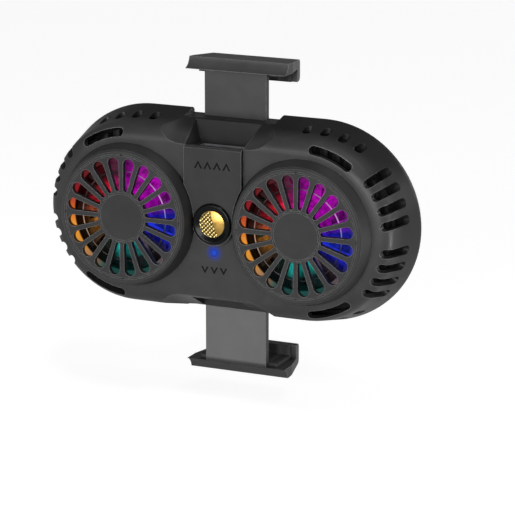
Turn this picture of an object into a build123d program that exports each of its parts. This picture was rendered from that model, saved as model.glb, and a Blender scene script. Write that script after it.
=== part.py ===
from build123d import *
import math
import os

# Twin-fan phone cooler. X runs along the body, +Y points at the phone and +Z is up.
# The origin is the centre of the cold face that touches the phone. All lengths are in
# millimetres. A height is a distance in front of the cold face, towards the fans.

# Driving sizes of the whole cooler
fan_spacing = 50.0
drum_height = 4.2
bezel_radius = 5.5
bezel_drum_gap = 0.1
skirt_spread = 1.4
shoulder_land = 7.6
phone_width = 78.1
phone_thickness = 7.4
clamp_z = -2.2
closing_travel = 8.0
opening_travel = 6.0

# Walls and general clearances
side_wall = 1.6
front_wall = 1.6
floor_wall = 0.9
bay_wall = 1.2
overrun = 2.0
seam_gap = 0.05
running_gap = 0.05

# Front shell
rear_height = 1.6
shell_draft = 13.0
shoulder_radius = 4.2
cavity_corner = 1.5
waist_drop = 6.6
waist_flat_x = 9.5
waist_bend_x = 14.3
waist_bend_rise = 1.4
waist_shoulder_inset = 4.0
waist_shoulder_rise = 3.4
waist_end_inset = 0.5
waist_end_rise = 4.1
waist_slope = 0.52
recess_half_width = 13.2
recess_drop = 1.4

# Plug bays behind the waist
bay_lip = 1.1
upper_bay_floor_half = 8.1
upper_bay_mouth_half = 9.6
lower_bay_half = 7.4

# Vents. Angles are from the outward X axis of each fan
end_vent_angles = (9.0, 19.0, 29.0, 39.0)
crown_vent_count = 4
crown_vent_pitch = 11.5
left_crown_start = 65.0
right_crown_start = 59.5
vent_width = 2.4
vent_foot = 6.0
end_vent_inset = 5.2
crown_vent_height = 4.8
shoulder_slot_inset = 5.0
shoulder_slot_width = 2.2
shoulder_slot_start = 56.0
shoulder_slot_sweep = 27.0

# Clamp arms, rack and gear, in layers upwards from the cold face
cold_plate_thickness = 0.8
slide_gap = 0.2
arm_thickness = 1.8
arm_width = 17.8
arm_side_gap = 0.15
rack_thickness = 2.8
layer_gap = 0.1
gear_module = 0.8
gear_teeth = 12
pressure_angle = 20.0
gear_addendum = 0.7
gear_dedendum = 0.7
rack_addendum = 0.5
rack_dedendum = 0.9
tooth_backlash = 0.1
rack_back_inset = 0.2
rack_mesh_reach = 3.0
rack_end_land = 1.6
arm_end_gap = 1.0
pin_radius = 1.2
pin_head_radius = 2.0
pin_head_height = 0.35
spring_slot_width = 3.0
spring_slot_length = 6.5
spring_radius = 0.75
spring_wire_radius = 0.2
cage_wall = 1.3
cage_thickness = 1.0
cage_bay_gap = 2.1
cage_rail_gap = 0.5

# Jaws and their pads
pad_thickness = 0.9
pad_lip_thickness = 0.6
phone_gap = 0.1
jaw_front_width = 28.8
jaw_back_width = 24.7
jaw_straight_depth = 2.6
jaw_wall = 2.9
jaw_wall_back = 2.0
jaw_front_proud = 0.5
jaw_front_slant = 2.7
jaw_front_sag = 0.6
jaw_back_wall = 3.4
jaw_hook = 3.6
jaw_edge_radius = 1.2

# Circuit board and what stands on it
board_standoff = 0.7
board_thickness = 1.0
board_side_gap = 0.15
board_end_gap = 0.3
standoff_radius = 1.2
standoff_inset = 1.4
standoff_end_inset = 2.0
usb_a_width = 13.2
usb_a_height = 5.8
usb_a_switch_gap = 2.4
usb_a_wall = 0.35
usb_a_tongue_width = 11.1
usb_a_tongue_thickness = 1.9
usb_a_tongue_inset = 1.6
usb_a_block_depth = 4.2
usb_c_width = 8.9
usb_c_height = 3.2
usb_c_light_gap = 3.3
usb_c_wall = 0.3
usb_c_tongue_width = 6.7
usb_c_tongue_thickness = 0.7
usb_c_block_depth = 2.4
usb_c_tongue_inset = 0.8
port_headroom = 0.3
port_gap = 0.05
switch_size = 6.0
switch_height = 3.5
plunger_radius = 1.75
plunger_height = 2.2
plunger_proud = 0.9
plunger_travel_room = 0.8
led_size = 2.0
led_height = 0.7
light_z = -8.0
light_pipe_radius = 1.1

# Centre panel, bezel and button
panel_half_width = 8.3
panel_thickness = 1.8
panel_proud = 1.0
panel_end_land = 0.45
panel_corner = 0.5
bezel_skirt_inset = 0.9
bezel_crest_inset = 0.8
bezel_edge_height = 0.25
bezel_crest_height = 0.8
bezel_mouth_height = 0.35
bezel_band = 1.95
cap_fit = 0.09
cap_dome = 0.5
cap_rim_height = 0.3
bezel_skirt_depth = 0.4
cap_collar_inset = 0.3
cap_collar_height = 0.8
cap_collar_gap = 0.1
cap_stem_radius = 1.5

# Grilles
grille_thickness = 1.4
grille_edge = 0.4
slot_count = 20
slot_inner_radius = 7.6
slot_inner_end = 0.6
slot_rim = 3.5
slot_outer_end = 1.6
groove_inset = 1.25
hub_groove_radius = 6.45
groove_width = 0.3
groove_depth = 0.2
spigot_inset = 0.25
spigot_wall = 0.8
spigot_depth = 1.3

# Fans
frame_gap = 0.15
frame_wall = 0.75
spoke_count = 4
spoke_width = 2.2
motor_plate_radius = 7.0
motor_plate_thickness = 1.0
tip_gap = 0.45
hub_radius = 6.3
hub_wall = 0.8
hub_top = 0.9
hub_grille_gap = 0.9
hub_foot_gap = 0.7
hub_boss_radius = 2.0
hub_boss_height = 1.0
blade_count = 9
blade_thickness = 0.8
blade_root_chord = 3.4
blade_tip_chord = 8.0
blade_tip_sweep = 3.0
blade_camber = 0.7
blade_foot_gap = 1.0
blade_led_gap = 0.3
shaft_radius = 1.0
shaft_fit = 0.03
bearing_radius = 2.0
bearing_foot = 0.4
bearing_head_gap = 0.7
tube_wall = 0.6
tube_head_gap = 0.3
magnet_thickness = 0.7
magnet_inset = 0.4
stator_gap = 0.3
stator_core_wall = 0.5
stator_foot = 1.4
stator_height = 4.2
stator_pole_width = 1.4
stator_pole_count = 4
led_board_thickness = 0.4
led_board_width = 1.1
led_chip_count = 12
led_chip_length = 1.6
led_chip_width = 0.7
led_chip_height = 0.5
light_ring_width = 1.9
light_ring_groove = 0.7
light_ring_groove_width = 1.2
light_ring_height = 2.1

# Heat sinks, cooling modules, gaskets and cold plate
module_margin = 3.0
module_height = 2.6
module_seat = 0.5
sink_base = 1.2
sink_fin_height = 2.9
sink_fin_thickness = 1.0
sink_fin_pitch = 3.4
sink_fin_count = 13
sink_gap = 0.2
sink_cage_gap = 1.45
gasket_cage_gap = 1.65
gasket_gap = 0.2
cold_plate_inset = 6.8
flange_width = 1.6
flange_thickness = 0.8
flange_post_gap = 1.0

# Screw posts and screws
post_radius = 1.8
post_merge = 0.2
post_gap = 0.25
screw_radius = 0.75
screw_hole_gap = 0.05
screw_head_radius = 1.45
screw_head_height = 0.75
screw_head_recess = 0.15
screw_head_gap = 0.15
screw_land = 0.75
screw_tip = 7.0
screw_hole_end = 8.0
rear_edge_chamfer = 0.7
lip_height = 0.8
lip_wall = 0.8
lip_gap = 0.15
lip_end_x = 16.0

# Heights that follow from the layers above
half_spacing = fan_spacing / 2
arm_low = cold_plate_thickness + slide_gap
arm_top = arm_low + arm_thickness
rack_low = arm_top + slide_gap
rack_top = rack_low + rack_thickness
pin_low = arm_top + running_gap
pinion_low = pin_low + pin_head_height
cage_low = rack_top + layer_gap
cage_top = cage_low + cage_thickness
board_low = cage_top + board_standoff
board_top = board_low + board_thickness
cavity_top = board_top + usb_a_height + port_headroom
front_height = cavity_top + front_wall
total_height = front_height + drum_height
panel_face = front_height + panel_proud
panel_back = panel_face - panel_thickness
grille_under = total_height - grille_thickness

flange_top = floor_wall + flange_thickness
module_low = flange_top + module_seat
module_top = module_low + module_height
fin_low = module_top + sink_base
fin_top = fin_low + sink_fin_height
light_ring_low = grille_under - light_ring_height
frame_top = light_ring_low - led_board_thickness
motor_plate_top = fin_top + motor_plate_thickness
blade_low = motor_plate_top + blade_foot_gap
blade_top = frame_top - blade_led_gap
hub_low = motor_plate_top + hub_foot_gap
hub_top_face = total_height - grille_thickness - hub_grille_gap
hub_under = hub_top_face - hub_top
boss_low = hub_under - hub_boss_height
bearing_low = fin_top + bearing_foot
bearing_top = boss_low - bearing_head_gap
tube_top = boss_low - tube_head_gap

# Radii and widths that follow from the sizes above
drum_base_radius = half_spacing - bezel_radius - bezel_drum_gap
grille_radius = drum_base_radius - skirt_spread
end_radius = drum_base_radius + shoulder_land
waist_half = end_radius - waist_drop
waist_shoulder_x = half_spacing - waist_shoulder_inset
waist_end_x = half_spacing - waist_end_inset
recess_half = end_radius - recess_drop
end_vent_inner = end_radius - end_vent_inset
shoulder_slot_radius = end_radius - shoulder_slot_inset
panel_end_radius = bezel_radius + panel_end_land
bezel_skirt_radius = bezel_radius - bezel_skirt_inset
bezel_crest_radius = bezel_radius - bezel_crest_inset
cap_radius = bezel_radius - bezel_band
cap_collar_radius = bezel_skirt_radius - cap_collar_inset
slot_outer_radius = grille_radius - slot_rim
groove_radius = grille_radius - groove_inset
spigot_radius = grille_radius - spigot_inset
spigot_inner = spigot_radius - spigot_wall
shell_hole_radius = spigot_radius + seam_gap
frame_outer = spigot_inner - frame_gap
frame_inner = frame_outer - frame_wall
tip_radius = frame_inner - tip_gap
light_ring_inner = frame_outer - light_ring_width
magnet_outer = hub_radius - hub_wall
magnet_inner = magnet_outer - magnet_thickness
tube_inner = bearing_radius
tube_outer = tube_inner + tube_wall
stator_outer = magnet_inner - stator_gap
cavity_radius = end_radius - side_wall
cold_plate_radius = cavity_radius - cold_plate_inset
end_post_x = half_spacing + cavity_radius - post_radius + post_merge
sink_radius = cavity_radius - 2 * post_radius + post_merge - sink_gap
window_radius = cold_plate_radius + seam_gap
screw_bore_radius = screw_head_radius + screw_head_gap
cage_inner = arm_width / 2 + arm_side_gap
cage_outer = cage_inner + cage_wall
gasket_size = 2 * (half_spacing - cage_outer - gasket_cage_gap)
module_size = gasket_size - 2 * module_margin
sink_inner_x = cage_outer + sink_cage_gap
waist_post_x = cage_outer + post_gap + post_radius
waist_post_z = window_radius + screw_land + screw_bore_radius
flange_start_x = waist_post_x + post_radius + flange_post_gap
bay_floor = waist_half - bay_lip
board_half_length = bay_floor - bay_wall - board_end_gap
board_half_width = cage_outer - board_side_gap
cage_half_length = bay_floor - bay_wall - cage_bay_gap
cage_rail_half_length = recess_half - side_wall - cage_rail_gap
standoff_x = board_half_width - standoff_inset
standoff_z = cage_half_length - standoff_end_inset
usb_a_depth = bay_floor - switch_size / 2 - usb_a_switch_gap
usb_c_depth = bay_floor + light_z - led_size / 2 - usb_c_light_gap
gear_pitch_radius = gear_module * gear_teeth / 2
gear_outer = gear_pitch_radius + gear_addendum
rack_pitch = math.pi * gear_module
rack_back = arm_width / 2 - rack_back_inset
arm_inner_end = closing_travel + arm_end_gap
rack_below = opening_travel + rack_mesh_reach + rack_end_land
rack_above = closing_travel + rack_mesh_reach + rack_end_land
pad_face = phone_width / 2 + phone_gap / 2
jaw_inner = pad_face + pad_thickness
jaw_outer = jaw_inner + jaw_wall
jaw_front_height = arm_top + jaw_front_proud
pad_lip_face = -phone_thickness - phone_gap
jaw_hook_face = pad_lip_face - pad_lip_thickness
jaw_back_height = jaw_hook_face - jaw_back_wall
jaw_hook_tip = jaw_inner - jaw_hook

fans = (("left", -half_spacing), ("right", half_spacing))
clamps = (("upper", 1), ("lower", -1))
post_places = [(side * end_post_x, 0) for side in (1, -1)]
post_places += [(sx * waist_post_x, sz * waist_post_z) for sx in (1, -1) for sz in (1, -1)]

os.makedirs("parts", exist_ok=True)


def save(builder, label):
    """Label a finished piece and write it."""
    builder.part.label = label
    export_step(builder.part, f"parts/{label}.step")


def face_plane(height, x=0, z=0):
    """Plane seen from the fan side: local x is X and local y is Z."""
    return Plane(origin=(x, -height, z), x_dir=(1, 0, 0), z_dir=(0, -1, 0))


def turning_plane(x=0, z=0):
    """Half-section plane of a round piece: local x is the radius and local y the height."""
    return Plane(origin=(x, 0, z), x_dir=(1, 0, 0), z_dir=(0, 0, -1))


def turning_axis(x=0, z=0):
    """Axis of a round piece, parallel to Y."""
    return Axis((x, 0, z), (0, 1, 0))


def clamp_face_plane(height, side):
    """Face plane of an arm: local y runs outward from the clamp centre."""
    return Plane(origin=(0, -height, clamp_z), x_dir=(side, 0, 0), z_dir=(0, -1, 0))


def clamp_section_plane(side):
    """Side section of a jaw: local x runs outward and local y is the height."""
    return Plane(origin=(0, 0, clamp_z), x_dir=(0, 0, side), z_dir=(side, 0, 0))


def clamp_plan_plane(side):
    """Plan of a jaw: local x is across the jaw and local y is the height."""
    return Plane(origin=(0, 0, clamp_z), x_dir=(side, 0, 0), z_dir=(0, 0, -side))


def bay_plane(side, distance):
    """Plane across a plug bay: local x is X and local y is the height."""
    return Plane(origin=(0, 0, side * distance), x_dir=(1, 0, 0), z_dir=(0, 0, -1))


def make_ring(outer, inner, low, top, x=0, z=0):
    """A plain ring or tube about an axis parallel to Y."""
    with BuildPart() as ring:
        with BuildSketch(face_plane(low, x, z)):
            Circle(outer)
            if inner > 0:
                Circle(inner, mode=Mode.SUBTRACT)
        extrude(amount=top - low)
    return ring


def make_waist_scoop(side, drop):
    """The slanting hollow of the waist, moved inward by drop. Side 1 is the upper one."""
    start = front_height + overrun
    level = waist_half - drop - overrun * waist_slope
    reach = end_radius + overrun
    with BuildPart() as scoop:
        with BuildSketch(face_plane(start)):
            with BuildLine():
                for hand in (1, -1):
                    flat_end = (hand * waist_flat_x, side * level)
                    bend = (hand * waist_bend_x, side * (level + waist_bend_rise))
                    shoulder = (hand * waist_shoulder_x, side * (level + waist_shoulder_rise))
                    end = (hand * waist_end_x, side * (level + waist_end_rise))
                    first = TangentArc(flat_end, bend, tangent=(hand, 0))
                    TangentArc(first @ 1, shoulder, tangent=first % 1)
                    Polyline(shoulder, end, (hand * waist_end_x, side * reach))
                Line((-waist_flat_x, side * level), (waist_flat_x, side * level))
                Line((-waist_end_x, side * reach), (waist_end_x, side * reach))
            make_face()
        extrude(amount=front_height + overrun, dir=(0, 1, side * waist_slope))
    return scoop.part


def make_bay(side, grow, low, top):
    """The open space of a plug bay, grown by a wall."""
    if side > 0:
        floor_half = upper_bay_floor_half
        mouth_half = upper_bay_mouth_half
    else:
        floor_half = lower_bay_half
        mouth_half = lower_bay_half
    floor_level = bay_floor - grow
    flare = (mouth_half - floor_half) / (recess_half - bay_floor)
    reach = end_radius + overrun
    reach_half = floor_half + flare * (reach - bay_floor) + grow
    with BuildPart() as bay:
        with BuildSketch(face_plane(low)):
            with BuildLine():
                Polyline(
                    (-floor_half - grow, side * floor_level),
                    (floor_half + grow, side * floor_level),
                    (reach_half, side * reach),
                    (-reach_half, side * reach),
                    close=True,
                )
            make_face()
        extrude(amount=top - low)
    return bay.part


def make_mouth(side):
    """The mouth in the wall of the recess, that an arm slides through."""
    with BuildPart() as mouth:
        with BuildSketch(bay_plane(side, recess_half - side_wall - overrun)):
            with Locations((0, (arm_low + arm_top) / 2)):
                Rectangle(2 * cage_inner, arm_thickness + 2 * arm_side_gap)
        extrude(amount=-side * (side_wall + 2 * overrun))
    return mouth.part


def make_crown_vent(x, hand, angle, height):
    """One upright slot with round ends, cut outward through the side wall of a lobe."""
    turn = math.radians(angle if hand > 0 else 180 - angle)
    outward = (math.cos(turn), 0, math.sin(turn))
    start = sink_radius + sink_gap
    centre = (x + outward[0] * start, -vent_foot - height / 2, outward[2] * start)
    with BuildPart() as vent:
        with BuildSketch(Plane(origin=centre, x_dir=(0, -1, 0), z_dir=outward)):
            if height > vent_width:
                SlotOverall(height, vent_width)
            else:
                Circle(height / 2)
        extrude(amount=end_radius + overrun - start)
    return vent.part


def make_end_vent(x, hand, angle):
    """One vent cutter that runs up the side wall and over the shoulder."""
    turn = math.radians(angle if hand > 0 else 180 - angle)
    outward = (math.cos(turn), 0, math.sin(turn))
    reach = end_radius + overrun
    foot = vent_foot + vent_width / 2
    with BuildPart() as vent:
        with BuildSketch(Plane(origin=(x, -foot, 0), x_dir=outward, z_dir=(0, -1, 0))):
            with Locations(((end_vent_inner + reach) / 2, 0)):
                SlotOverall(reach - end_vent_inner, vent_width)
        extrude(amount=front_height)
        add(make_crown_vent(x, hand, angle, vent_width))
    return vent.part


def make_arc_slot(x, hand, side):
    """One curved slot cutter in the front face of a lobe."""
    start = shoulder_slot_start if hand > 0 else 180 - shoulder_slot_start - shoulder_slot_sweep
    if side < 0:
        start = -start - shoulder_slot_sweep
    arc = CenterArc((0, 0), shoulder_slot_radius, start, shoulder_slot_sweep)
    with BuildPart() as slot:
        with BuildSketch(face_plane(fin_top, x)):
            SlotArc(arc, shoulder_slot_width)
        extrude(amount=front_height + overrun - fin_top)
    return slot.part


def add_panel_outline(grow):
    """Outline of the centre panel inside a sketch: a tongue with a round end between the drums."""
    with Locations((0, (waist_half + grow) / 2)):
        Rectangle(2 * (panel_half_width + grow), waist_half + grow)
    Circle(panel_end_radius + grow)
    with Locations((half_spacing, 0), (-half_spacing, 0)):
        Circle(drum_base_radius + seam_gap - grow, mode=Mode.SUBTRACT)


# Front shell: a drafted stadium with a rounded shoulder, scooped at the waist
with BuildPart() as shell_cavity:
    with BuildSketch(face_plane(rear_height)):
        SlotCenterToCenter(fan_spacing, 2 * cavity_radius)
    extrude(amount=cavity_top - rear_height, taper=shell_draft)
    chamfer(shell_cavity.faces().sort_by(Axis.Y)[0].edges(), cavity_corner)
    for side in (1, -1):
        wall_drop = side_wall * math.hypot(1, waist_slope)
        add(make_waist_scoop(side, wall_drop), mode=Mode.SUBTRACT)
        add(make_bay(side, bay_wall, cage_low, cavity_top), mode=Mode.SUBTRACT)
        with BuildSketch(face_plane(0)):
            with Locations((0, side * (recess_half - side_wall + end_radius / 2))):
                Rectangle(2 * (recess_half_width + side_wall), end_radius)
        extrude(amount=front_height, mode=Mode.SUBTRACT)
    for place in post_places:
        with BuildSketch(face_plane(rear_height, place[0], place[1])):
            Circle(post_radius)
        extrude(amount=cavity_top - rear_height, mode=Mode.SUBTRACT)

with BuildPart() as front_shell:
    with BuildSketch(face_plane(rear_height)):
        SlotCenterToCenter(fan_spacing, 2 * end_radius)
    extrude(amount=front_height - rear_height, taper=shell_draft)
    fillet(front_shell.faces().sort_by(Axis.Y)[0].edges(), shoulder_radius)
    for side in (1, -1):
        add(make_waist_scoop(side, 0), mode=Mode.SUBTRACT)
        with BuildSketch(face_plane(0)):
            with Locations((0, side * (recess_half + end_radius / 2))):
                Rectangle(2 * recess_half_width, end_radius)
        extrude(amount=cage_top, mode=Mode.SUBTRACT)
    add(shell_cavity.part, mode=Mode.SUBTRACT)
    add([make_mouth(1), make_mouth(-1)], mode=Mode.SUBTRACT)
    add(make_bay(1, 0, cage_top, front_height + overrun), mode=Mode.SUBTRACT)
    add(make_bay(-1, 0, cage_top, cavity_top), mode=Mode.SUBTRACT)
    # pocket that the centre panel lies in
    with BuildSketch(face_plane(panel_back)):
        add_panel_outline(seam_gap)
    extrude(amount=front_wall + overrun, mode=Mode.SUBTRACT)
    # holes for the drums, the button, the light and the sockets
    with BuildSketch(face_plane(cavity_top - overrun)):
        with Locations((half_spacing, 0), (-half_spacing, 0)):
            Circle(shell_hole_radius)
        Circle(bezel_skirt_radius + seam_gap)
        with Locations((0, light_z)):
            Circle(light_pipe_radius + seam_gap)
    extrude(amount=front_wall + 2 * overrun, mode=Mode.SUBTRACT)
    with BuildSketch(bay_plane(1, bay_floor - bay_wall - overrun)):
        with Locations((0, board_top + usb_a_height / 2)):
            Rectangle(usb_a_width + 2 * port_gap, usb_a_height + 2 * port_gap)
    extrude(amount=-bay_wall - 2 * overrun, mode=Mode.SUBTRACT)
    with BuildSketch(bay_plane(-1, bay_floor - bay_wall - overrun)):
        with Locations((0, board_top + usb_c_height / 2)):
            SlotOverall(usb_c_width + 2 * port_gap, usb_c_height + 2 * port_gap)
    extrude(amount=bay_wall + 2 * overrun, mode=Mode.SUBTRACT)
    # vents round both ends and slots in the shoulders
    vents = []
    for name, fan_x in fans:
        hand = 1 if fan_x > 0 else -1
        crown_start = right_crown_start if hand > 0 else left_crown_start
        for side in (1, -1):
            for angle in end_vent_angles:
                vents.append(make_end_vent(fan_x, hand, side * angle))
            for index in range(crown_vent_count):
                angle = side * (crown_start + index * crown_vent_pitch)
                vents.append(make_crown_vent(fan_x, hand, angle, crown_vent_height))
            vents.append(make_arc_slot(fan_x, hand, side))
    add(vents, mode=Mode.SUBTRACT)
    # screw holes up the posts
    for place in post_places:
        with BuildSketch(face_plane(rear_height, place[0], place[1])):
            Circle(screw_radius + screw_hole_gap)
        extrude(amount=screw_hole_end - rear_height, mode=Mode.SUBTRACT)
save(front_shell, "front_shell")

# Rear cover: a shallow tray with a window for the cold plate
with BuildPart() as rear_cover:
    with BuildSketch(face_plane(0)):
        SlotCenterToCenter(fan_spacing, 2 * end_radius)
    extrude(amount=rear_height)
    chamfer(rear_cover.faces().sort_by(Axis.Y)[-1].edges(), rear_edge_chamfer)
    with BuildSketch(face_plane(floor_wall)):
        SlotCenterToCenter(fan_spacing, 2 * cavity_radius)
        for side in (1, -1):
            with Locations((0, side * (recess_half - side_wall + end_radius / 2))):
                Rectangle(2 * (recess_half_width + side_wall), end_radius, mode=Mode.SUBTRACT)
        for place in post_places:
            with Locations(place):
                Circle(post_radius, mode=Mode.SUBTRACT)
    extrude(amount=rear_height, mode=Mode.SUBTRACT)
    for side in (1, -1):
        with BuildSketch(face_plane(0)):
            with Locations((0, side * (recess_half + end_radius / 2))):
                Rectangle(2 * recess_half_width, end_radius)
        extrude(amount=rear_height, mode=Mode.SUBTRACT)
        add(make_mouth(side), mode=Mode.SUBTRACT)
    with BuildSketch(face_plane(-overrun)):
        SlotCenterToCenter(fan_spacing, 2 * window_radius)
    extrude(amount=floor_wall + 2 * overrun, mode=Mode.SUBTRACT)
    # locating lip round both ends
    lip_outer = cavity_radius - lip_gap - lip_height * math.tan(math.radians(shell_draft))
    with BuildSketch(face_plane(floor_wall)):
        SlotCenterToCenter(fan_spacing, 2 * cavity_radius)
        SlotCenterToCenter(fan_spacing, 2 * (lip_outer - lip_wall), mode=Mode.SUBTRACT)
        Rectangle(2 * lip_end_x, 2 * end_radius, mode=Mode.SUBTRACT)
    extrude(amount=rear_height - floor_wall)
    with BuildSketch(face_plane(rear_height)):
        SlotCenterToCenter(fan_spacing, 2 * lip_outer)
        SlotCenterToCenter(fan_spacing, 2 * (lip_outer - lip_wall), mode=Mode.SUBTRACT)
        Rectangle(2 * lip_end_x, 2 * end_radius, mode=Mode.SUBTRACT)
        for place in post_places:
            with Locations(place):
                Circle(post_radius + lip_gap, mode=Mode.SUBTRACT)
    extrude(amount=lip_height)
    # screw holes with sunk heads
    for place in post_places:
        with BuildSketch(face_plane(0, place[0], place[1])):
            Circle(screw_radius + screw_hole_gap)
        extrude(amount=rear_height, mode=Mode.SUBTRACT)
        with BuildSketch(face_plane(0, place[0], place[1])):
            Circle(screw_bore_radius)
        extrude(amount=screw_head_recess + screw_head_height, mode=Mode.SUBTRACT)
save(rear_cover, "rear_cover")

with BuildPart() as case_screws:
    for place in post_places:
        with BuildSketch(face_plane(screw_head_recess, place[0], place[1])):
            Circle(screw_head_radius)
        extrude(amount=screw_head_height)
        with BuildSketch(face_plane(screw_head_recess + screw_head_height, place[0], place[1])):
            Circle(screw_radius)
        extrude(amount=screw_tip - screw_head_recess - screw_head_height)
save(case_screws, "case_screws")

# Centre panel between the drums
with BuildPart() as centre_panel:
    with BuildSketch(face_plane(panel_back)):
        add_panel_outline(0)
    extrude(amount=panel_thickness)
    chamfer(centre_panel.faces().sort_by(Axis.Y)[0].edges().group_by(Axis.Z)[-1], panel_corner)
    with BuildSketch(face_plane(panel_back - overrun)):
        Circle(bezel_skirt_radius + seam_gap)
    extrude(amount=panel_thickness + 2 * overrun, mode=Mode.SUBTRACT)
save(centre_panel, "centre_panel")

# Push button: bezel, cap, plunger and switch
bezel_low = panel_back - bezel_skirt_depth
cap_collar_top = bezel_low - cap_collar_gap
cap_collar_low = cap_collar_top - cap_collar_height
bezel_mouth = cap_radius + cap_fit
with BuildPart() as button_bezel:
    with BuildSketch(turning_plane()):
        with BuildLine():
            skirt = Polyline(
                (bezel_mouth, panel_face + bezel_mouth_height),
                (bezel_mouth, bezel_low),
                (bezel_skirt_radius, bezel_low),
                (bezel_skirt_radius, panel_face),
                (bezel_radius, panel_face),
                (bezel_radius, panel_face + bezel_edge_height),
            )
            crest = (bezel_crest_radius, panel_face + bezel_crest_height)
            TangentArc(skirt @ 1, crest, tangent=(0, 1))
            Line(crest, skirt @ 0)
        make_face()
    revolve(axis=turning_axis())
save(button_bezel, "button_bezel")

plunger_top = board_top + switch_height + plunger_proud
cap_edge = panel_face + cap_rim_height
with BuildPart() as button_cap:
    with BuildSketch(turning_plane()):
        with BuildLine():
            body = Polyline(
                (0, cap_edge + cap_dome),
                (0, plunger_top),
                (cap_stem_radius, plunger_top),
                (cap_stem_radius, cap_collar_low),
                (cap_collar_radius, cap_collar_low),
                (cap_collar_radius, cap_collar_top),
                (cap_radius, cap_collar_top),
                (cap_radius, cap_edge),
            )
            TangentArc(body @ 0, body @ 1, tangent=(1, 0))
        make_face()
    revolve(axis=turning_axis())
save(button_cap, "button_cap")

with BuildPart() as switch_plunger:
    with BuildSketch(face_plane(plunger_top - plunger_height)):
        Circle(plunger_radius)
    extrude(amount=plunger_height)
save(switch_plunger, "switch_plunger")

with BuildPart() as tact_switch:
    with BuildSketch(face_plane(board_top)):
        Rectangle(switch_size, switch_size)
    extrude(amount=switch_height)
    with BuildSketch(face_plane(plunger_top - plunger_height - plunger_travel_room)):
        Circle(plunger_radius + running_gap)
    extrude(amount=plunger_height + plunger_travel_room, mode=Mode.SUBTRACT)
save(tact_switch, "tact_switch")

# Status light
with BuildPart() as status_led:
    with BuildSketch(face_plane(board_top, 0, light_z)):
        Rectangle(led_size, led_size)
    extrude(amount=led_height)
save(status_led, "status_led")
light_pipe = make_ring(light_pipe_radius, 0, board_top + led_height, front_height, 0, light_z)
save(light_pipe, "status_light_pipe")

# Circuit board
with BuildPart() as circuit_board:
    with BuildSketch(face_plane(board_low)):
        Rectangle(2 * board_half_width, 2 * board_half_length)
    extrude(amount=board_thickness)
save(circuit_board, "circuit_board")

# Output socket in the floor of the upper bay
usb_a_centre = board_top + usb_a_height / 2
with BuildPart() as usb_a_shell:
    with BuildSketch(bay_plane(1, bay_floor)):
        with Locations((0, usb_a_centre)):
            Rectangle(usb_a_width, usb_a_height)
            inner_width = usb_a_width - 2 * usb_a_wall
            Rectangle(inner_width, usb_a_height - 2 * usb_a_wall, mode=Mode.SUBTRACT)
    extrude(amount=usb_a_depth)
save(usb_a_shell, "usb_a_shell")

with BuildPart() as usb_a_tongue:
    with BuildSketch(bay_plane(1, bay_floor - usb_a_depth + usb_a_block_depth)):
        with Locations((0, usb_a_centre)):
            Rectangle(inner_width, usb_a_height - 2 * usb_a_wall)
    extrude(amount=usb_a_block_depth)
    with BuildSketch(bay_plane(1, bay_floor - usb_a_tongue_inset)):
        with Locations((0, usb_a_centre - usb_a_tongue_thickness / 2)):
            Rectangle(usb_a_tongue_width, usb_a_tongue_thickness)
    extrude(amount=usb_a_depth - usb_a_tongue_inset - usb_a_block_depth)
save(usb_a_tongue, "usb_a_tongue")

# Input socket in the floor of the lower bay
usb_c_centre = board_top + usb_c_height / 2
with BuildPart() as usb_c_shell:
    with BuildSketch(bay_plane(-1, bay_floor)):
        with Locations((0, usb_c_centre)):
            SlotOverall(usb_c_width, usb_c_height)
            bore_width = usb_c_width - 2 * usb_c_wall
            SlotOverall(bore_width, usb_c_height - 2 * usb_c_wall, mode=Mode.SUBTRACT)
    extrude(amount=-usb_c_depth)
save(usb_c_shell, "usb_c_shell")

with BuildPart() as usb_c_tongue:
    with BuildSketch(bay_plane(-1, bay_floor - usb_c_depth + usb_c_block_depth)):
        with Locations((0, usb_c_centre)):
            SlotOverall(bore_width, usb_c_height - 2 * usb_c_wall)
    extrude(amount=-usb_c_block_depth)
    with BuildSketch(bay_plane(-1, bay_floor - usb_c_tongue_inset)):
        with Locations((0, usb_c_centre)):
            Rectangle(usb_c_tongue_width, usb_c_tongue_thickness)
    extrude(amount=-(usb_c_depth - usb_c_tongue_inset - usb_c_block_depth))
save(usb_c_tongue, "usb_c_tongue")

# Cold plate: flat inside the window, thicker under the modules, with a flange on the floor
with BuildPart() as cold_plate:
    with BuildSketch(face_plane(0)):
        SlotCenterToCenter(fan_spacing, 2 * cold_plate_radius)
    extrude(amount=cold_plate_thickness)
    with BuildSketch(face_plane(cold_plate_thickness)):
        SlotCenterToCenter(fan_spacing, 2 * cold_plate_radius)
        Rectangle(2 * flange_start_x, 2 * end_radius, mode=Mode.SUBTRACT)
    extrude(amount=flange_top - cold_plate_thickness)
    with BuildSketch(face_plane(floor_wall)):
        SlotCenterToCenter(fan_spacing, 2 * (cold_plate_radius + flange_width))
        Rectangle(2 * flange_start_x, 2 * end_radius, mode=Mode.SUBTRACT)
    extrude(amount=flange_thickness)
    with BuildSketch(face_plane(flange_top)):
        with Locations((half_spacing, 0), (-half_spacing, 0)):
            Rectangle(module_size, module_size)
    extrude(amount=module_seat)
save(cold_plate, "cold_plate")

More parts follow.
